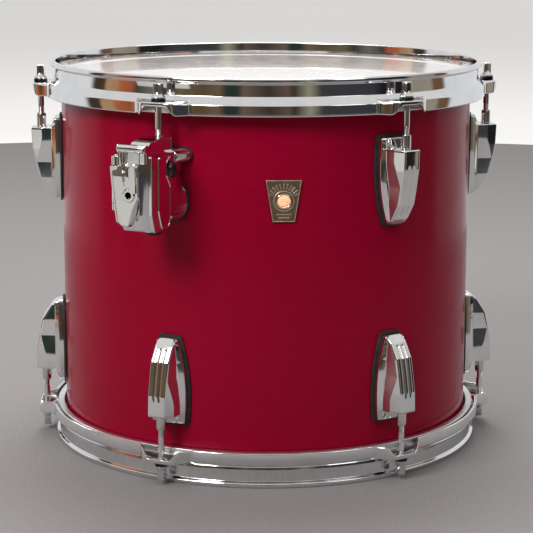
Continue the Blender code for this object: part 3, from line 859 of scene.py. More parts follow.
def rod_mesh():
    """A drum-key rod about its own axis, with z measured from the rim."""
    upper = filleted([
        (0, -SQUARE_END + 0.0002, 0), (NECK, -SQUARE_END + 0.0001, 0.0005),
        (NECK + 0.0003, -SQUARE_END - 0.0012, 0.001), (FLANGE - 0.0007, -CONE_END + 0.0018, 0.001),
        (FLANGE, -CONE_END + 0.0009, 0.0004), (FLANGE, -CONE_END, 0.0002),
        (SHANK, -CONE_END, 0.0002), (SHANK, -THREAD_TOP, 0),
    ], 4, closed=False)
    thread_end = -ROD_END + 0.0012
    tip = [(SHANK, thread_end), (SHANK - 0.0008, -ROD_END), (0, -ROD_END)]
    thread = threaded(thread_end, -THREAD_TOP)
    shape = joined(lathe(upper, ROD_STEPS), thread, lathe(tip, ROD_STEPS), square_head())
    return made_mesh("tension_rod", shape, FINISH["rod"], 40)


def washer_mesh():
    """The washer between a rod's flange and the hoop's ear."""
    top, low = -CONE_END - 0.00005, -EAR_TOP + 0.00005
    bore = SHANK + 0.0003
    corners = [
        (WASHER - 0.0003, top, 0.0004), (WASHER, low, 0.0004), (bore, low, 0.0002),
        (bore, top, 0.0002),
    ]
    return made_mesh("rod_washer", turned_ring(corners, FILLET_STEPS, 40), FINISH["black"])


def nut_mesh():
    """The swivel nut: a plain barrel with a tapered mouth."""
    corners = [
        (NUT_BORE, -NUT_TOP, 0.0001), (NUT_RADIUS - 0.0003, -NUT_TOP, 0.0002),
        (NUT_RADIUS, -NUT_TOP - 0.0016, 0.0006), (NUT_RADIUS, -NUT_TOP - 0.0105, 0.0002),
        (NUT_RADIUS - 0.0003, -NUT_TOP - 0.0108, 0.0002),
        (NUT_RADIUS, -NUT_TOP - 0.0111, 0.0002), (NUT_RADIUS, -NUT_END, 0.0003),
        (NUT_BORE, -NUT_END, 0.0002),
    ]
    return made_mesh("swivel_nut", turned_ring(corners, FILLET_STEPS, 40), FINISH["nut"])


def on_rod_axis(azimuth, upside_down):
    """Onto a rod's axis, with z = 0 at the rim of its own side."""
    centre = on_circle(azimuth, ROD_RADIUS, 0 if upside_down else HEIGHT)
    return Matrix.Translation(centre) @ turn(azimuth) @ turned_over(upside_down)


def make_rods():
    rod, washer, nut = rod_mesh(), washer_mesh(), nut_mesh()
    for side, upside_down in SIDES:
        for number, azimuth in stations():
            place = on_rod_axis(azimuth, upside_down)
            name = f"{side}_rod_{number}"
            piece(f"{name}_screw", rod, name, [name], place)
            piece(f"{name}_washer", washer, f"{side}_hoop", (), place)
            node = f"{side}_nut_{number}"
            piece(f"{node}_barrel", nut, "drum", [node], place)


# ---- lugs ----
def lug_half(z):
    """Half width of the gasket at a height from the lug's middle."""
    share = abs(z - LUG_WIDEST) / (GASKET_HALF + LUG_WIDEST)
    return LUG_WIDE - LUG_TAPER * share ** LUG_BOW


def rounded_end(z, end, radius):
    """How far an outline draws in near its ends, so that they are eased."""
    over = max(0, abs(z) - (end - radius))
    return radius - math.sqrt(max(0, radius * radius - over * over))


def fin_front(z):
    """Radius of the fin's front: a blunt nose, a steep rise and a long slow curve."""
    for low, high in zip(FIN_CURVE, FIN_CURVE[1:]):
        if z <= high.x:
            break
    share = min(1, max(-2, (z - low.x) / (high.x - low.x)))
    return blend(low.y, high.y, share) - (rounded_end(z, FIN_END, LUG_EASE) if z > 0 else 0)


def flute(x, z):
    """Depth below the fin's front: two flutes between three reeds, closed at the rod end."""
    share = smoothstep(FLUTE_HIGH, FLUTE_HIGH - 0.0045, z) * smoothstep(FLUTE_LOW, FLUTE_LOW + 0.0020, z)
    reed = abs(math.cos(math.pi * x / (FIN_HALF * 0.64))) ** 0.6
    inside = smoothstep(0.82, 0.70, abs(x) / FIN_HALF)
    return FLUTE * share * inside * (1 - reed) + 0.0004 * (x / FIN_HALF) ** 2


def lug_section(z, with_fin=True):
    """A slice of the lug: plinth with a sloped shoulder, drafted fin and reeded front."""
    end = GASKET_HALF - LUG_INSET
    half = lug_half(z) - LUG_INSET - rounded_end(z, end, LUG_EASE)
    back = SHELL_RADIUS + GASKET_BACK + GASKET_THICK + 0.0002
    rise = min(1, max(0, (end + z) / NARROW_SLOPE), max(0, (end - z) / ROD_SLOPE))
    edge = SHELL_RADIUS + PLINTH_EDGE - rounded_end(z, end, 0.0008)
    base = blend(edge, SHELL_RADIUS + PLINTH_TOP, rise)
    front = max(base + 0.0004, fin_front(z)) if with_fin else base + 0.0004
    drop = front - base
    knee = max(0.0016, min(FIN_KNEE * smoothstep(-0.012, 0.020, z), drop * 0.55))
    fin = min(FIN_HALF, half - 0.0016)
    foot = min(half - 0.0007, fin + FIN_DRAFT * knee + FIN_STEEP * (drop - knee))
    bend = min(foot - 0.0001, fin + FIN_DRAFT * knee)
    shoulder = max(foot + 0.0002, half - PLINTH_SHOULDER)
    corners = [
        (-half, on_arc(half, back), 0), (-half, on_arc(half, edge), 0.0008),
        (-shoulder, on_arc(shoulder, base), 0.0007), (-foot, -base - 0.0001, 0.0006),
        (-bend, knee - front, 0.0040), (-fin, 0.0002 - front, 0.0011), (-fin * FIN_FACE, -front, 0),
    ]
    side = filleted(corners, 4, closed=False)[:-1]
    xs = [fin * FIN_FACE * (i / 17 - 1) for i in range(35)]
    depth = min(1, drop / 0.003)
    face = [Vector((x, flute(x * FIN_HALF / fin, z) * depth - front)) for x in xs]
    outline = side + face + [Vector((-p.x, p.y)) for p in reversed(side)]
    outline.append(Vector((0, -back)))
    return [(p.x, p.y, z) for p in outline]


def lug_mesh():
    """The cast lug: a fluted fin on a stepped plinth, bored for its swivel nut."""
    end = GASKET_HALF - LUG_INSET
    eased = (0, 0.0001, 0.0004, 0.0008, 0.0016)
    heights = [e - end for e in eased]
    heights += [blend(0.0020 - end, FIN_END - 0.002, (i / 110) ** 1.15) for i in range(111)]
    heights += [FIN_END - LUG_EASE * (1 - math.sin(math.radians(a))) for a in (10, 30, 50, 65, 78, 90)]
    sections = [lug_section(z) for z in heights]
    after = [FIN_END + 0.0001] + spaced(FIN_END + 0.001, end - 0.0020, 6)
    after += [end - e for e in reversed(eased)]
    sections += [lug_section(z, with_fin=False) for z in after]
    mesh = made_mesh("lug_casting", loft(sections), FINISH["lug"], 38)
    return cut(mesh, rod_cylinder(LUG_BORE, 0.0100, FIN_END + 0.004, (0, -ROD_RADIUS)), 38)


def gasket_mesh():
    """The thin rubber gasket between lug and shell, cut to the lug's outline."""
    inner = SHELL_RADIUS + GASKET_BACK
    outer = inner + GASKET_THICK
    sections = []
    for z in crowded(-GASKET_HALF, GASKET_HALF, 60):
        half = lug_half(z) - rounded_end(z, GASKET_HALF, 0.0024)
        xs = crowded(-half, half, 16)
        front = [(x, on_arc(x, outer - eased_edge(half - abs(x), 0.0007)), z) for x in xs]
        back = [(x, on_arc(x, inner), z) for x in reversed(xs)]
        sections.append(front + back)
    return made_mesh("lug_gasket", loft(sections), FINISH["rubber"], 50)


def screw_shape(x=0.0, z=0.0):
    """A hexagon-head screw with its washer, inside the shell, pointing outwards."""
    wall = SHELL_RADIUS - SHELL_WALL
    disc, thick, radius = SCREW_WASHER, SCREW_WASHER_THICK, SCREW_HEAD
    corners = [(0.0001, 0, 0), (disc, 0, 0.0002), (disc, thick, 0.0002), (0.0001, thick, 0)]
    rim = filleted(corners, closed=False)
    washer = lathe([(0, 0), *rim[1:-1], (0, thick)], 32)
    head = []
    for reach, height in ((radius, thick), (radius, 0.0038), (radius * 0.9, 0.0044)):
        angles = [math.radians(60 * i) for i in range(6)]
        corners = [(reach * math.cos(angle), reach * math.sin(angle), 0.0003) for angle in angles]
        head.append([(p.x, p.y, height) for p in filleted(corners, 2)])
    shank = rod_cylinder(SCREW_SHANK, -SHELL_WALL - 0.0020, 0.0005, steps=20)
    spin = Matrix.Rotation(x / wall, 4, "Z") @ Matrix.Translation((0, -wall, z)) @ INWARDS
    return moved(joined(washer, loft(head), shank), spin)


def on_lug_centre(azimuth, upside_down):
    centre = (0, 0, LUG_CENTRE if upside_down else HEIGHT - LUG_CENTRE)
    return Matrix.Translation(centre) @ turn(azimuth) @ turned_over(upside_down)


def make_lugs():
    lug, gasket = lug_mesh(), gasket_mesh()
    pair = joined(screw_shape(z=-SCREW_Z), screw_shape(z=SCREW_Z))
    screws = made_mesh("lug_screws", pair, FINISH["nut"])
    for side, upside_down in SIDES:
        for number, azimuth in stations():
            node = f"{side}_lug_{number}"
            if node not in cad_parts:
                continue
            place = on_lug_centre(azimuth, upside_down)
            rubber_node = f"{side}_lug_gasket_{number}"
            piece(f"{node}_casting", lug, "drum", [node], place)
            piece(f"{rubber_node}_sheet", gasket, "drum", [rubber_node], place)
            piece(f"{node}_screws", screws, "drum", (), place)


# ---- tom bracket: x along the shell, radius outwards and height, all in millimetres ----
BLOCK_SIDE = 15.0
BLOCK_SHELF = 13.2           # half width of the block's front
BLOCK_FRONT, BLOCK_BACK = 231, 202
BLOCK_LOW, BLOCK_TOP = 212, 272
BOSS_SIDE, BOSS_FRONT, BOSS_BACK, BOSS_TOP = 8.0, 230.6, 188.6, 283.3
NECK_SLICES = (              # height and half width
    (221, 11.0), (223, 13.4), (246, 13.4), (253, 11.0), (260, 13.4), (270, 13.4), (271.5, 12.0),
)
FOOT_BACK = 179.1
FOOT_EDGE, FOOT_LIFT, FOOT_RISE = 1.2, 2.6, 11.0     # edge, and least and further thickness
FOOT_SLOPE = 0.37            # how fast a foot narrows towards the neck
FEET = ((19.5, 260.7, 273.5, 3.0), (16.8, 213.3, 247.9, 2.3))   # half width, low, high, power
HINGE = (-15.2, 234.8)
BARREL, PIN, PIN_BORE = 3.4, 1.6, 2.0
KNUCKLES = (230.0, 235.0, 265.0, 272.0)
KNUCKLE_GAP = 0.3
CHANNEL = (7.0, 232.6)
CHANNEL_HALF = 6.0
CLAMP = (-1.5, 242.8)        # x and height of the clamp's hole
CLAMP_BORE, CLAMP_RING = 2.8, 5.2
JAW_BACK, JAW_FRONT = 234.3, 240.0
JAW_LOW, JAW_TOP = 218.0, 281.3
LIP_LOW = 276.3
FACET_TOP, HOLLOW_TOP = 266.8, 241.5
LIP_LEFT, LIP_RIGHT = -11.8, 12.4
JAW_LEFT, JAW_RIGHT = (-18.3, -13.4), 6.6      # the left edge's x at its top and its foot
RIDGE_POINT = (-5.6, 247.8)  # x and height where the ridges meet
BAR_X, BAR_HALF = 1.9, 3.4
JAW_ROWS, JAW_COLUMNS = 170, 84
SIDE_BOLT = (200.5, 258.8)   # radius and height
BUMPER = (4.0, 212.0)        # x and radius
SCREWS = ((-0.010, 0.267), (0.010, 0.267), (0, 0.229))      # x and height, in metres


BRACKET_PLACE = turn(FIRST_STATION) @ Matrix.Scale(0.001, 4)


def bracket_mesh(name, shape, finish, sharp=SHARP):
    """A mesh in metres, turned to the bracket's azimuth."""
    return made_mesh(name, moved(shape, BRACKET_PLACE), FINISH[finish], sharp)


def side_section(x, corners):
    """A slice across the bracket at x, from (radius, height, rounding) corners."""
    return [(x, -p.x, p.y) for p in filleted(corners, 5)]


def level_section(z, corners, rounds=FILLET_STEPS):
    """A level slice of the bracket, from (x, radius, rounding) corners."""
    return [(p.x, -p.y, z) for p in filleted(corners, rounds)]


def standing(shape, x, radius):
    """An upright shape moved to its place on the bracket."""
    return moved(shape, Matrix.Translation((x, -radius, 0)))


def block_corners(front, low, top):
    """The block's outline from the side, drawn in at its front, foot and top."""
    return [
        (BLOCK_FRONT - front, BLOCK_TOP - top, 2.2), (BLOCK_FRONT - front, 226 + low, 9.0),
        (226 - front, BLOCK_LOW + low, 4.0), (BLOCK_BACK + low, BLOCK_LOW + low, 15.0),
        (BLOCK_BACK + low / 2, 248 - low / 2, 4.0), (209, 254, 4.0), (209, 266, 4.0),
        (BLOCK_BACK + low / 2, 269.5, 2.0), (BLOCK_BACK + low / 2, BLOCK_TOP - top, 0.8),
    ]


def block_shape():
    """The cast block: its right side has a long chamfer and a raised rim round a panel."""
    rows = [
        (-14.7, 2.6, 1.8, 1.6), (-BLOCK_SIDE, 1.8, 1.2, 1.0), (-14.6, 0.7, 0.4, 0.3),
        (-13.6, 0.1, 0, 0), (BLOCK_SHELF - 0.5, 0, 0, 0), (BLOCK_SHELF - 0.08, 0.03, 0, 0),
        (BLOCK_SHELF, 0.2, 0.1, 0.1), (BLOCK_SHELF + 0.08, 0.9, 0.3, 0.3), (14.2, 8.2, 1.6, 1.2),
        (14.28, 8.9, 1.9, 1.5), (14.95, 9.0, 2.2, 1.8), (BLOCK_SIDE, 9.3, 2.5, 2.1),
        (14.95, 9.6, 2.8, 2.4), (14.6, 10.0, 3.1, 2.7),
    ]
    return loft([side_section(x, block_corners(*inset)) for x, *inset in rows])


def boss_shape():
    """The boss that holds the tension rod's nut, rising from front to back."""
    slices = ((-7.4, 1.0), (-7.9, 0.4), (-BOSS_SIDE, 0), (BOSS_SIDE, 0), (7.9, 0.4), (7.4, 1.0))
    sections = []
    for x, inset in slices:
        corners = [
            (BOSS_FRONT - inset, 266, 0), (BOSS_FRONT - inset, 276.5 - inset, 1.5),
            (222, 281.5 - inset, 5.0), (210, BOSS_TOP - inset, 6.0),
            (BOSS_BACK + inset, BOSS_TOP - inset, 2.0), (BOSS_BACK + inset, 268, 0),
        ]
        sections.append(side_section(x, corners))
    return loft(sections)


def foot_half(share, half, power):
    """Half width of a foot, or its gasket, at -1..1 of its height."""
    return half * max(0.0, 1 - abs(share) ** power) ** (1 / power)


def foot_shares(steps):
    return [-math.cos(math.pi * (i + 0.5) / steps) for i in range(steps)]


def foot_shape(half, low, high, power):
    """A pillow-like foot that lies on its gasket."""
    middle, reach = (low + high) / 2, (high - low) / 2
    sections = []
    for share in foot_shares(36):
        fill = foot_half(share, 1, power)
        side = half * fill
        front = FOOT_BACK + FOOT_LIFT + FOOT_RISE * fill ** 0.45
        z = middle + reach * share
        back = math.sqrt(FOOT_BACK ** 2 - side ** 2)
        top = max(side * 0.3, side - FOOT_SLOPE * (front - back - FOOT_EDGE))
        corners = [
            (-side, back, 0), (-side, back + FOOT_EDGE, 0.8), (-top, front, 1.0), (top, front, 1.0),
            (side, back + FOOT_EDGE, 0.8), (side, back, 0), (0, FOOT_BACK, 0),
        ]
        sections.append(level_section(z, corners, 5))
    return loft(sections)


def neck_shape():
    """The neck between the block and its feet, waisted between them."""
    sections = []
    for z, side in NECK_SLICES:
        corners = [(-side, 181, 0), (-side, 205, 0), (side, 205, 0), (side, 181, 0)]
        sections.append(level_section(z, corners))
    return loft(sections)


def upright(radius, low, high, x, at_radius):
    """An upright cylinder in the bracket's millimetres."""
    return standing(rod_cylinder(radius, low, high, steps=40), x, at_radius)


def knuckle(low, high):
    """A hinge barrel with eased ends."""
    ease = 0.4
    end = BARREL - ease
    profile = [(0, low), (end, low), (BARREL, low + ease), (BARREL, high - ease), (end, high), (0, high)]
    return standing(lathe(profile, 40), *HINGE)


def knuckle_web(low, high):
    """The web that ties a knuckle of the block to the block's corner."""
    left = HINGE[0] - 0.5
    corners = [(left, 230.5), (left, 234.0), (-12.8, 231.5), (-11.5, 226.0)]
    return loft([[(x, -r, z) for x, r in corners] for z in (low + KNUCKLE_GAP, high - KNUCKLE_GAP)])


def channel_shape():
    """The diamond channel for an L-rod, flared at the block's foot."""
    x, r = CHANNEL
    sections = []
    for z, half in ((205, 11.0), (226, CHANNEL_HALF), (290, CHANNEL_HALF)):
        sections.append([(x + half, -r, z), (x, -r + half, z), (x - half, -r, z), (x, -r - half, z)])
    return loft(sections)


def clamp_hole(back, front):
    """The clamp's hole, which points away from the drum's axis."""
    x, z = CLAMP
    shape = rod_cylinder(CLAMP_BORE, back, front, steps=40)
    return moved(shape, Matrix.Translation((x, 0, z)) @ OUTWARDS)


def make_bracket_body():
    mesh = made_mesh("bracket", block_shape(), FINISH["lug"], 34)
    shapes = [boss_shape(), neck_shape()] + [foot_shape(*foot) for foot in FEET]
    for low, high in (KNUCKLES[:2], KNUCKLES[2:]):
        shapes += [knuckle_web(low, high), knuckle(low, high)]
    rod_place = (0, ROD_RADIUS * 1000)
    mesh = drilled(fused(mesh, shapes), [
        channel_shape(),
        clamp_hole(216, 240),
        upright(PIN_BORE, 220, 280, *HINGE),
        upright(4.5, 261, 300, *rod_place),
        upright(3.2, 250, 270, *rod_place),
    ])
    piece("mount_body_casting", mesh, "drum", ["mount_body"], BRACKET_PLACE)


def jaw_right(z):
    """The jaw's right edge: full at the lip, cut back below it, then hollowed out."""
    if z > FACET_TOP:
        return LIP_RIGHT
    if z > HOLLOW_TOP:
        return JAW_RIGHT
    share = (z - JAW_LOW) / (HOLLOW_TOP - JAW_LOW)
    return blend(-2.6, JAW_RIGHT, share ** 0.75) - 1.8 * math.sin(math.pi * share)


def jaw_left(z):
    """The jaw's left edge: it covers the hinge below the top knuckle and tapers down."""
    if z > KNUCKLES[2] - KNUCKLE_GAP:
        return LIP_LEFT
    share = max(0, (KNUCKLES[2] - z) / (KNUCKLES[2] - 222))
    return blend(*JAW_LEFT, min(1, share) ** 1.3) + 4.2 * smoothstep(222.5, JAW_LOW, z)


def jaw_ridges(x, z):
    """Three cast ridges that run together downwards under the lip's left end."""
    meet_x, meet_z = RIDGE_POINT
    if not meet_z < z < LIP_LOW:
        return 0
    spread = (x - meet_x) / (z - meet_z) * (LIP_LOW - meet_z)
    if not -5.2 < spread < 3.2:
        return 0
    wave = abs(math.sin(math.pi * (spread + 5.2) / 2.8))
    return 1.3 * wave * smoothstep(meet_z, meet_z + 9, z) * smoothstep(LIP_LOW, LIP_LOW - 1.5, z)


def jaw_front(x, z):
    """Radius of the jaw's front, with its lip, ridges, bar, ring and facet."""
    face = JAW_FRONT - 0.4 * ((x + 3) / 12) ** 2
    face += 1.3 * smoothstep(LIP_LOW - 0.8, LIP_LOW + 0.6, z)
    recess = smoothstep(257.0, 265.0, z) * (1 - smoothstep(LIP_LOW - 0.9, LIP_LOW + 0.3, z))
    face -= 1.5 * recess
    face += jaw_ridges(x, z)
    ring = math.hypot(x - CLAMP[0], z - CLAMP[1])
    over = max(0, z - (FACET_TOP - BAR_HALF))
    reach = math.hypot(x - BAR_X, over)
    bar = (1 - smoothstep(BAR_HALF - 0.5, BAR_HALF + 0.1, reach)) if z > CLAMP[1] + 2 else 0
    boss = 1 - smoothstep(CLAMP_RING - 0.5, CLAMP_RING + 0.1, ring)
    face = max(face, blend(face, JAW_FRONT + 1.2, max(bar, boss)))
    left, right = jaw_left(z), jaw_right(z)
    side = 2.6 if z < KNUCKLES[2] else 1.6
    face -= eased_edge(x - left, side)
    face -= eased_edge(right - x, 0.7 if z < FACET_TOP else 1.3)
    face -= eased_edge(JAW_TOP - z, 2.6) + eased_edge(z - JAW_LOW, 1.4)
    return face


def jaw_back(x, z):
    """Radius of the jaw's back, which passes in front of the hinge's barrel."""
    deep = JAW_BACK - 2.4 * smoothstep(247.0, 241.0, z)
    return blend(deep, JAW_FRONT - 1.4, smoothstep(-11.0, -12.0, x))


def jaw_shape():
    pairs = zip(spaced(0, 1, JAW_COLUMNS), crowded(0, 1, JAW_COLUMNS))
    shares = [blend(even, dense, 0.35) for even, dense in pairs]
    sections = []
    for z in spaced(JAW_LOW, JAW_TOP, JAW_ROWS):
        xs = [blend(jaw_left(z), jaw_right(z), share) for share in shares]
        front = [(x, -max(jaw_front(x, z), jaw_back(x, z) + 0.25), z) for x in xs]
        rear = [(x, -jaw_back(x, z), z) for x in reversed(xs)]
        sections.append(front + rear)
    return loft(sections)


def make_jaw():
    """The hinged jaw with its own knuckle, bored for the pin, the rod and the clamp."""
    mesh = made_mesh("jaw", jaw_shape(), FINISH["lug"], 32)
    mesh = fused(mesh, [knuckle(KNUCKLES[1] + KNUCKLE_GAP, KNUCKLES[2] - KNUCKLE_GAP)], 32)
    holes = [channel_shape(), clamp_hole(228, 248), upright(PIN_BORE, 220, 280, *HINGE)]
    mesh = drilled(mesh, holes, 32)
    piece("mount_jaw_casting", mesh, "mount_jaw", ["mount_jaw"], BRACKET_PLACE)


def make_hinge_pin():
    """The hinge pin with domed ends."""
    low, high = KNUCKLES[0] - 1.0, KNUCKLES[3] + 1.0
    corners = [(0, low, 0), (PIN, low, 0.9), (PIN, high, 0.9), (0, high, 0)]
    mesh = bracket_mesh("hinge_pin", standing(turned(corners, 6, 32), *HINGE), "nut")
    piece("mount_hinge_pin_rod", mesh, "drum", ["mount_hinge_pin"])


def make_side_bolt():
    """The black cross bolt: a domed head with a socket, a shank and a nut on the far side."""
    corners = [
        (0, 15.6, 0), (1.9, 15.6, 0.2), (2.2, 17.2, 0.3), (4.6, 17.1, 1.5), (6.6, 15.4, 0.9),
        (6.6, 14.1, 0.4), (2.5, 14.1, 0.3), (2.5, -14.9, 0.2), (5.2, -14.9, 0.3), (5.2, -16.3, 0.8),
        (0, -16.6, 0),
    ]
    radius, z = SIDE_BOLT
    place = Matrix.Translation((0, -radius, z)) @ Matrix.Rotation(math.pi / 2, 4, "Y")
    mesh = bracket_mesh("side_bolt", moved(turned(corners, 6, 56), place), "gloss_black")
    piece("mount_side_bolt_screw", mesh, "drum", ["mount_side_bolt"])


def make_bumper():
    """The rubber bumper under the block, with a rounded foot."""
    corners = [(0, 208.5, 0), (5.4, 208.6, 1.6), (6.8, 210.2, 1.2), (6.8, 211.9, 0.3), (0, 211.9, 0)]
    mesh = bracket_mesh("bumper", standing(turned(corners, 6, 48), *BUMPER), "rubber")
    piece("mount_bottom_bumper_pad", mesh, "drum", ["mount_bottom_bumper"])


def make_bracket_gasket(node, half, low, high, power):
    """A foot's rubber gasket, a little larger than the foot."""
    back, front, grow = SHELL_RADIUS * 1000 + 0.5, SHELL_RADIUS * 1000 + 1.8, 0.9
    middle, reach = (low + high) / 2, (high - low) / 2 + grow
    sections = []
    for share in foot_shares(40):
        side = foot_half(share, half + grow, power)
        xs = spaced(-side, side, 16)
        z = middle + reach * share
        outer = [(x, -math.sqrt(front ** 2 - x * x), z) for x in xs]
        inner = [(x, -math.sqrt(back ** 2 - x * x), z) for x in reversed(xs)]
        sections.append(outer + inner)
    mesh = bracket_mesh(node, loft(sections), "rubber", 50)
    piece(f"{node}_sheet", mesh, "drum", [node])


def make_bracket():
    make_bracket_body()
    make_jaw()
    make_hinge_pin()
    make_side_bolt()
    make_bumper()
    for node, foot in zip(("mount_upper_gasket", "mount_lower_gasket"), FEET):
        make_bracket_gasket(node, *foot)
    screws = joined(*[screw_shape(*place) for place in SCREWS])
    mesh = made_mesh("bracket_screws", screws, FINISH["nut"])
    piece("mount_screws", mesh, "drum", (), turn(FIRST_STATION))


# ---- camera, light and floor ----
LENS, SENSOR = 123.74, 36
CAMERA = (-19.64, 1.5942, 0.4632)       # azimuth, distance and height
AIM, TILT, ROLL = -19.676, 11.29, 0.146     # in degrees
NEAR_FLOOR, FAR_FLOOR = 1.1, 14.0
WALL_DISTANCE, WALL_HEIGHT, WALL_SWEEP = 2.4, 3.5, 0.4
LAMP_AIM = (0, 0, 0.16)
LAMPS = (                               # name, azimuth, distance, height, size and power
    ("key", -58, 1.9, 1.6, 0.8, 30),
    ("fill", 25, 2.2, 1.5, 0.7, 3),
    ("overhead", 160, 0.7, 1.9, 1.0, 29),
)
GLOW_POWER, GLOW_COLOUR = 1.2, (0.80, 0.86, 1.0)
CARD_AZIMUTHS, CARD_NEAR, CARD_FAR = (-88, -58), 1.12, 2.4

# The room round the drum at eye height, by azimuth in degrees: a dim shop in front of it,
# and a pale wall behind.
BLACK, WHITE = (0, 0, 0), (1, 1, 1)
CEILING = (0.72, 0.71, 0.70, 1)
FLOOR_GLOW = (0.22, 0.215, 0.21, 1)
PALE = (0.73, 0.74, 0.755)
ROOM = (
    (-180, PALE), (-126, PALE), (-122, (0.05, 0.03, 0.02)), (-114, (0.06, 0.04, 0.025)),
    (-112, (0.46, 0.27, 0.15)), (-104, (0.40, 0.22, 0.12)), (-102, (0.42, 0.12, 0.05)),
    (-94, (0.34, 0.09, 0.04)), (-91, (0.045, 0.05, 0.038)), (-82, (0.15, 0.14, 0.12)),
    (-72, (0.03, 0.03, 0.025)), (-66, (0.13, 0.11, 0.06)), (-52, (0.10, 0.065, 0.035)),
    (-44, (0.15, 0.10, 0.06)), (-40, (0.022, 0.034, 0.030)), (-34, (0.022, 0.034, 0.030)),
    (-31, (0.14, 0.10, 0.07)), (-18, (0.045, 0.035, 0.03)), (-8, (0.12, 0.08, 0.06)),
    (-5, (0.03, 0.022, 0.02)), (3, (0.28, 0.27, 0.18)), (7, (0.12, 0.12, 0.09)),
    (9, (0.045, 0.046, 0.050)), (38, (0.040, 0.042, 0.046)), (44, (0.012, 0.012, 0.013)),
    (58, (0.015, 0.014, 0.013)), (61, (0.28, 0.25, 0.19)), (78, (0.30, 0.27, 0.22)),
    (80, (0.17, 0.09, 0.05)), (88, (0.15, 0.08, 0.045)), (91, PALE), (180, PALE),
)


def make_camera():
    """A long lens a little above the drum, on its front left."""
    data = bpy.data.cameras.new("camera")
    data.sensor_width = SENSOR
    data.lens = LENS
    camera = linked_object("camera", data)
    aim = turn(AIM) @ Matrix.Rotation(math.radians(90 - TILT), 4, "X")
    camera.matrix_world = Matrix.Translation(on_circle(*CAMERA)) @ aim @ turn(ROLL)
    bpy.context.scene.camera = camera


def stage_piece(name, points, faces, finish, hidden=()):
    """A surface of the studio, hidden from some kinds of ray."""
    mesh = bpy.data.meshes.new(name)
    mesh.from_pydata(points, [], faces)
    mesh.materials.append(finish)
    obj = linked_object(name, mesh)
    for ray in hidden:
        setattr(obj, f"visible_{ray}", False)
    return obj


def stage_ring(name, profile, finish, hidden=()):
    """A surface of the studio, turned about the drum's axis."""
    obj = stage_piece(name, *lathe(profile, 128), finish, hidden)
    obj.data.shade_smooth()
    obj.location.z = CAD_BOX[0].z


def make_floor():
    """A pale floor, and far behind it a wall that only the camera sees.

    Mirrors see the room in place of the far floor.
    """
    m = Material("pale_floor", Specular_IOR_Level=0.2)
    speckle = m.noise(m.point, 420, 3, 0.7)
    shades = [(0.3, (0.215, 0.205, 0.203)), (0.7, (0.295, 0.284, 0.281))]
    finish = m.surface((speckle, shades), (speckle, 0.7, 0.85))
    stage_ring("floor", [(0, 0), (0.6, 0), (NEAR_FLOOR, 0)], finish)
    stage_ring("far_floor", [(NEAR_FLOOR, 0), (FAR_FLOOR, 0)], finish, ["glossy"])
    m = Material("pale_wall", Specular_IOR_Level=0.1, Emission_Color=(1, 1, 0.99, 1), Emission_Strength=0.18)
    shades = [(0.3, (0.80, 0.80, 0.795)), (0.7, (0.85, 0.85, 0.845))]
    finish = m.surface((m.noise(m.point, 1.5, 2), shades), (m.noise(m.point, 3), 0.8, 0.9))
    corners = [
        (WALL_DISTANCE - WALL_SWEEP, 0.001, 0), (WALL_DISTANCE, 0.001, WALL_SWEEP),
        (WALL_DISTANCE, WALL_HEIGHT, 0),
    ]
    sweep = filleted(corners, 10, closed=False)
    stage_ring("wall", sweep, finish, ["diffuse", "glossy", "shadow", "transmission"])


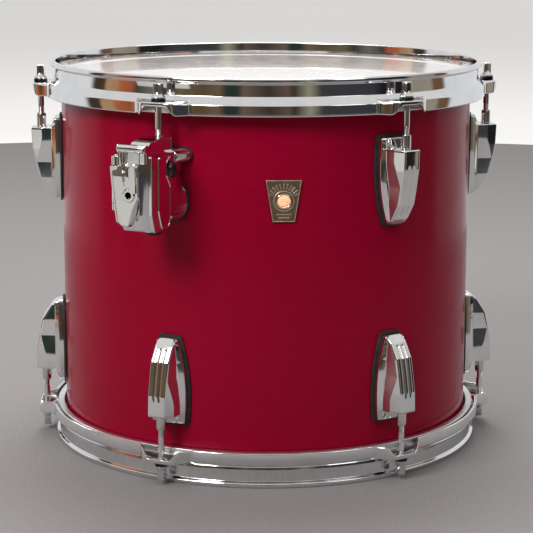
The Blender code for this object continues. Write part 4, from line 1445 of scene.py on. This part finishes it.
def make_world():
    """A pale studio behind and above, and a dim room in front that the chrome mirrors."""
    world = bpy.data.worlds.new("studio")
    bpy.context.scene.world = world
    world.use_nodes = True
    world.node_tree.nodes.clear()
    g = Graph(world.node_tree)
    x, y, z = g.split(g.add("ShaderNodeTexCoord").outputs["Generated"])
    angle = g.math("ARCTAN2", x, g.math("MULTIPLY", y, -1.0))
    turn_share = g.math("ADD", g.math("DIVIDE", angle, 2 * math.pi), 0.5)
    room = g.ramp(turn_share, [(azimuth / 360 + 0.5, colour) for azimuth, colour in ROOM])
    upper = g.ramp(z, [(0.0, BLACK), (0.34, BLACK), (0.66, WHITE)])
    depth = g.math("MULTIPLY", g.math("ADD", z, 1.0), 0.5)
    lower = g.ramp(depth, [(0.0, WHITE), (0.34, WHITE), (0.38, BLACK)])
    colour = g.mix(lower, g.mix(upper, room, CEILING), FLOOR_GLOW)
    glow = g.fed("ShaderNodeBackground", 0, Color=colour, Strength=1.0)
    g.feed(g.add("ShaderNodeOutputWorld").inputs["Surface"], glow)


def make_lights():
    """Three square lamps, and a faint glow inside the shell that shows its plies."""
    for name, azimuth, distance, height, size, power in LAMPS:
        data = bpy.data.lights.new(name, "AREA")
        data.shape = "SQUARE"
        data.size = size
        data.energy = power
        lamp = linked_object(name, data)
        lamp.location = on_circle(azimuth, distance, height)
        lamp.rotation_euler = (Vector(LAMP_AIM) - lamp.location).to_track_quat("-Z", "Y").to_euler()
    glow = bpy.data.lights.new("inside", "POINT")
    glow.energy = GLOW_POWER
    glow.color = GLOW_COLOUR
    linked_object("inside", glow).location = (0, 0, HEIGHT / 2)


def make_card():
    """A pale card flat on the floor, which only mirrors see: it lights the bracket's front."""
    m = Material("pale_card", Emission_Color=(1.0, 0.97, 0.9, 1), Emission_Strength=0.42)
    finish = m.surface((m.noise(m.point, 4), [(0.3, (0.10, 0.10, 0.09)), (0.7, (0.12, 0.12, 0.11))]))
    left, right = CARD_AZIMUTHS
    corners = ((left, CARD_NEAR), (right, CARD_NEAR), (right, CARD_FAR), (left, CARD_FAR))
    points = [on_circle(azimuth, distance, 0.002) for azimuth, distance in corners]
    stage_piece("card", points, [(0, 1, 2, 3)], finish, ["camera", "diffuse", "shadow"])


def build():
    make_camera()
    make_shell()
    make_badge()
    make_eyelet()
    for side, upside_down in SIDES:
        make_head(side, upside_down)
        make_hoop(side, upside_down)
    make_rods()
    make_lugs()
    make_bracket()
    make_floor()
    make_card()
    make_world()
    make_lights()
    bpy.context.scene.view_settings.view_transform = "Standard"


FINISH = make_materials()
build()
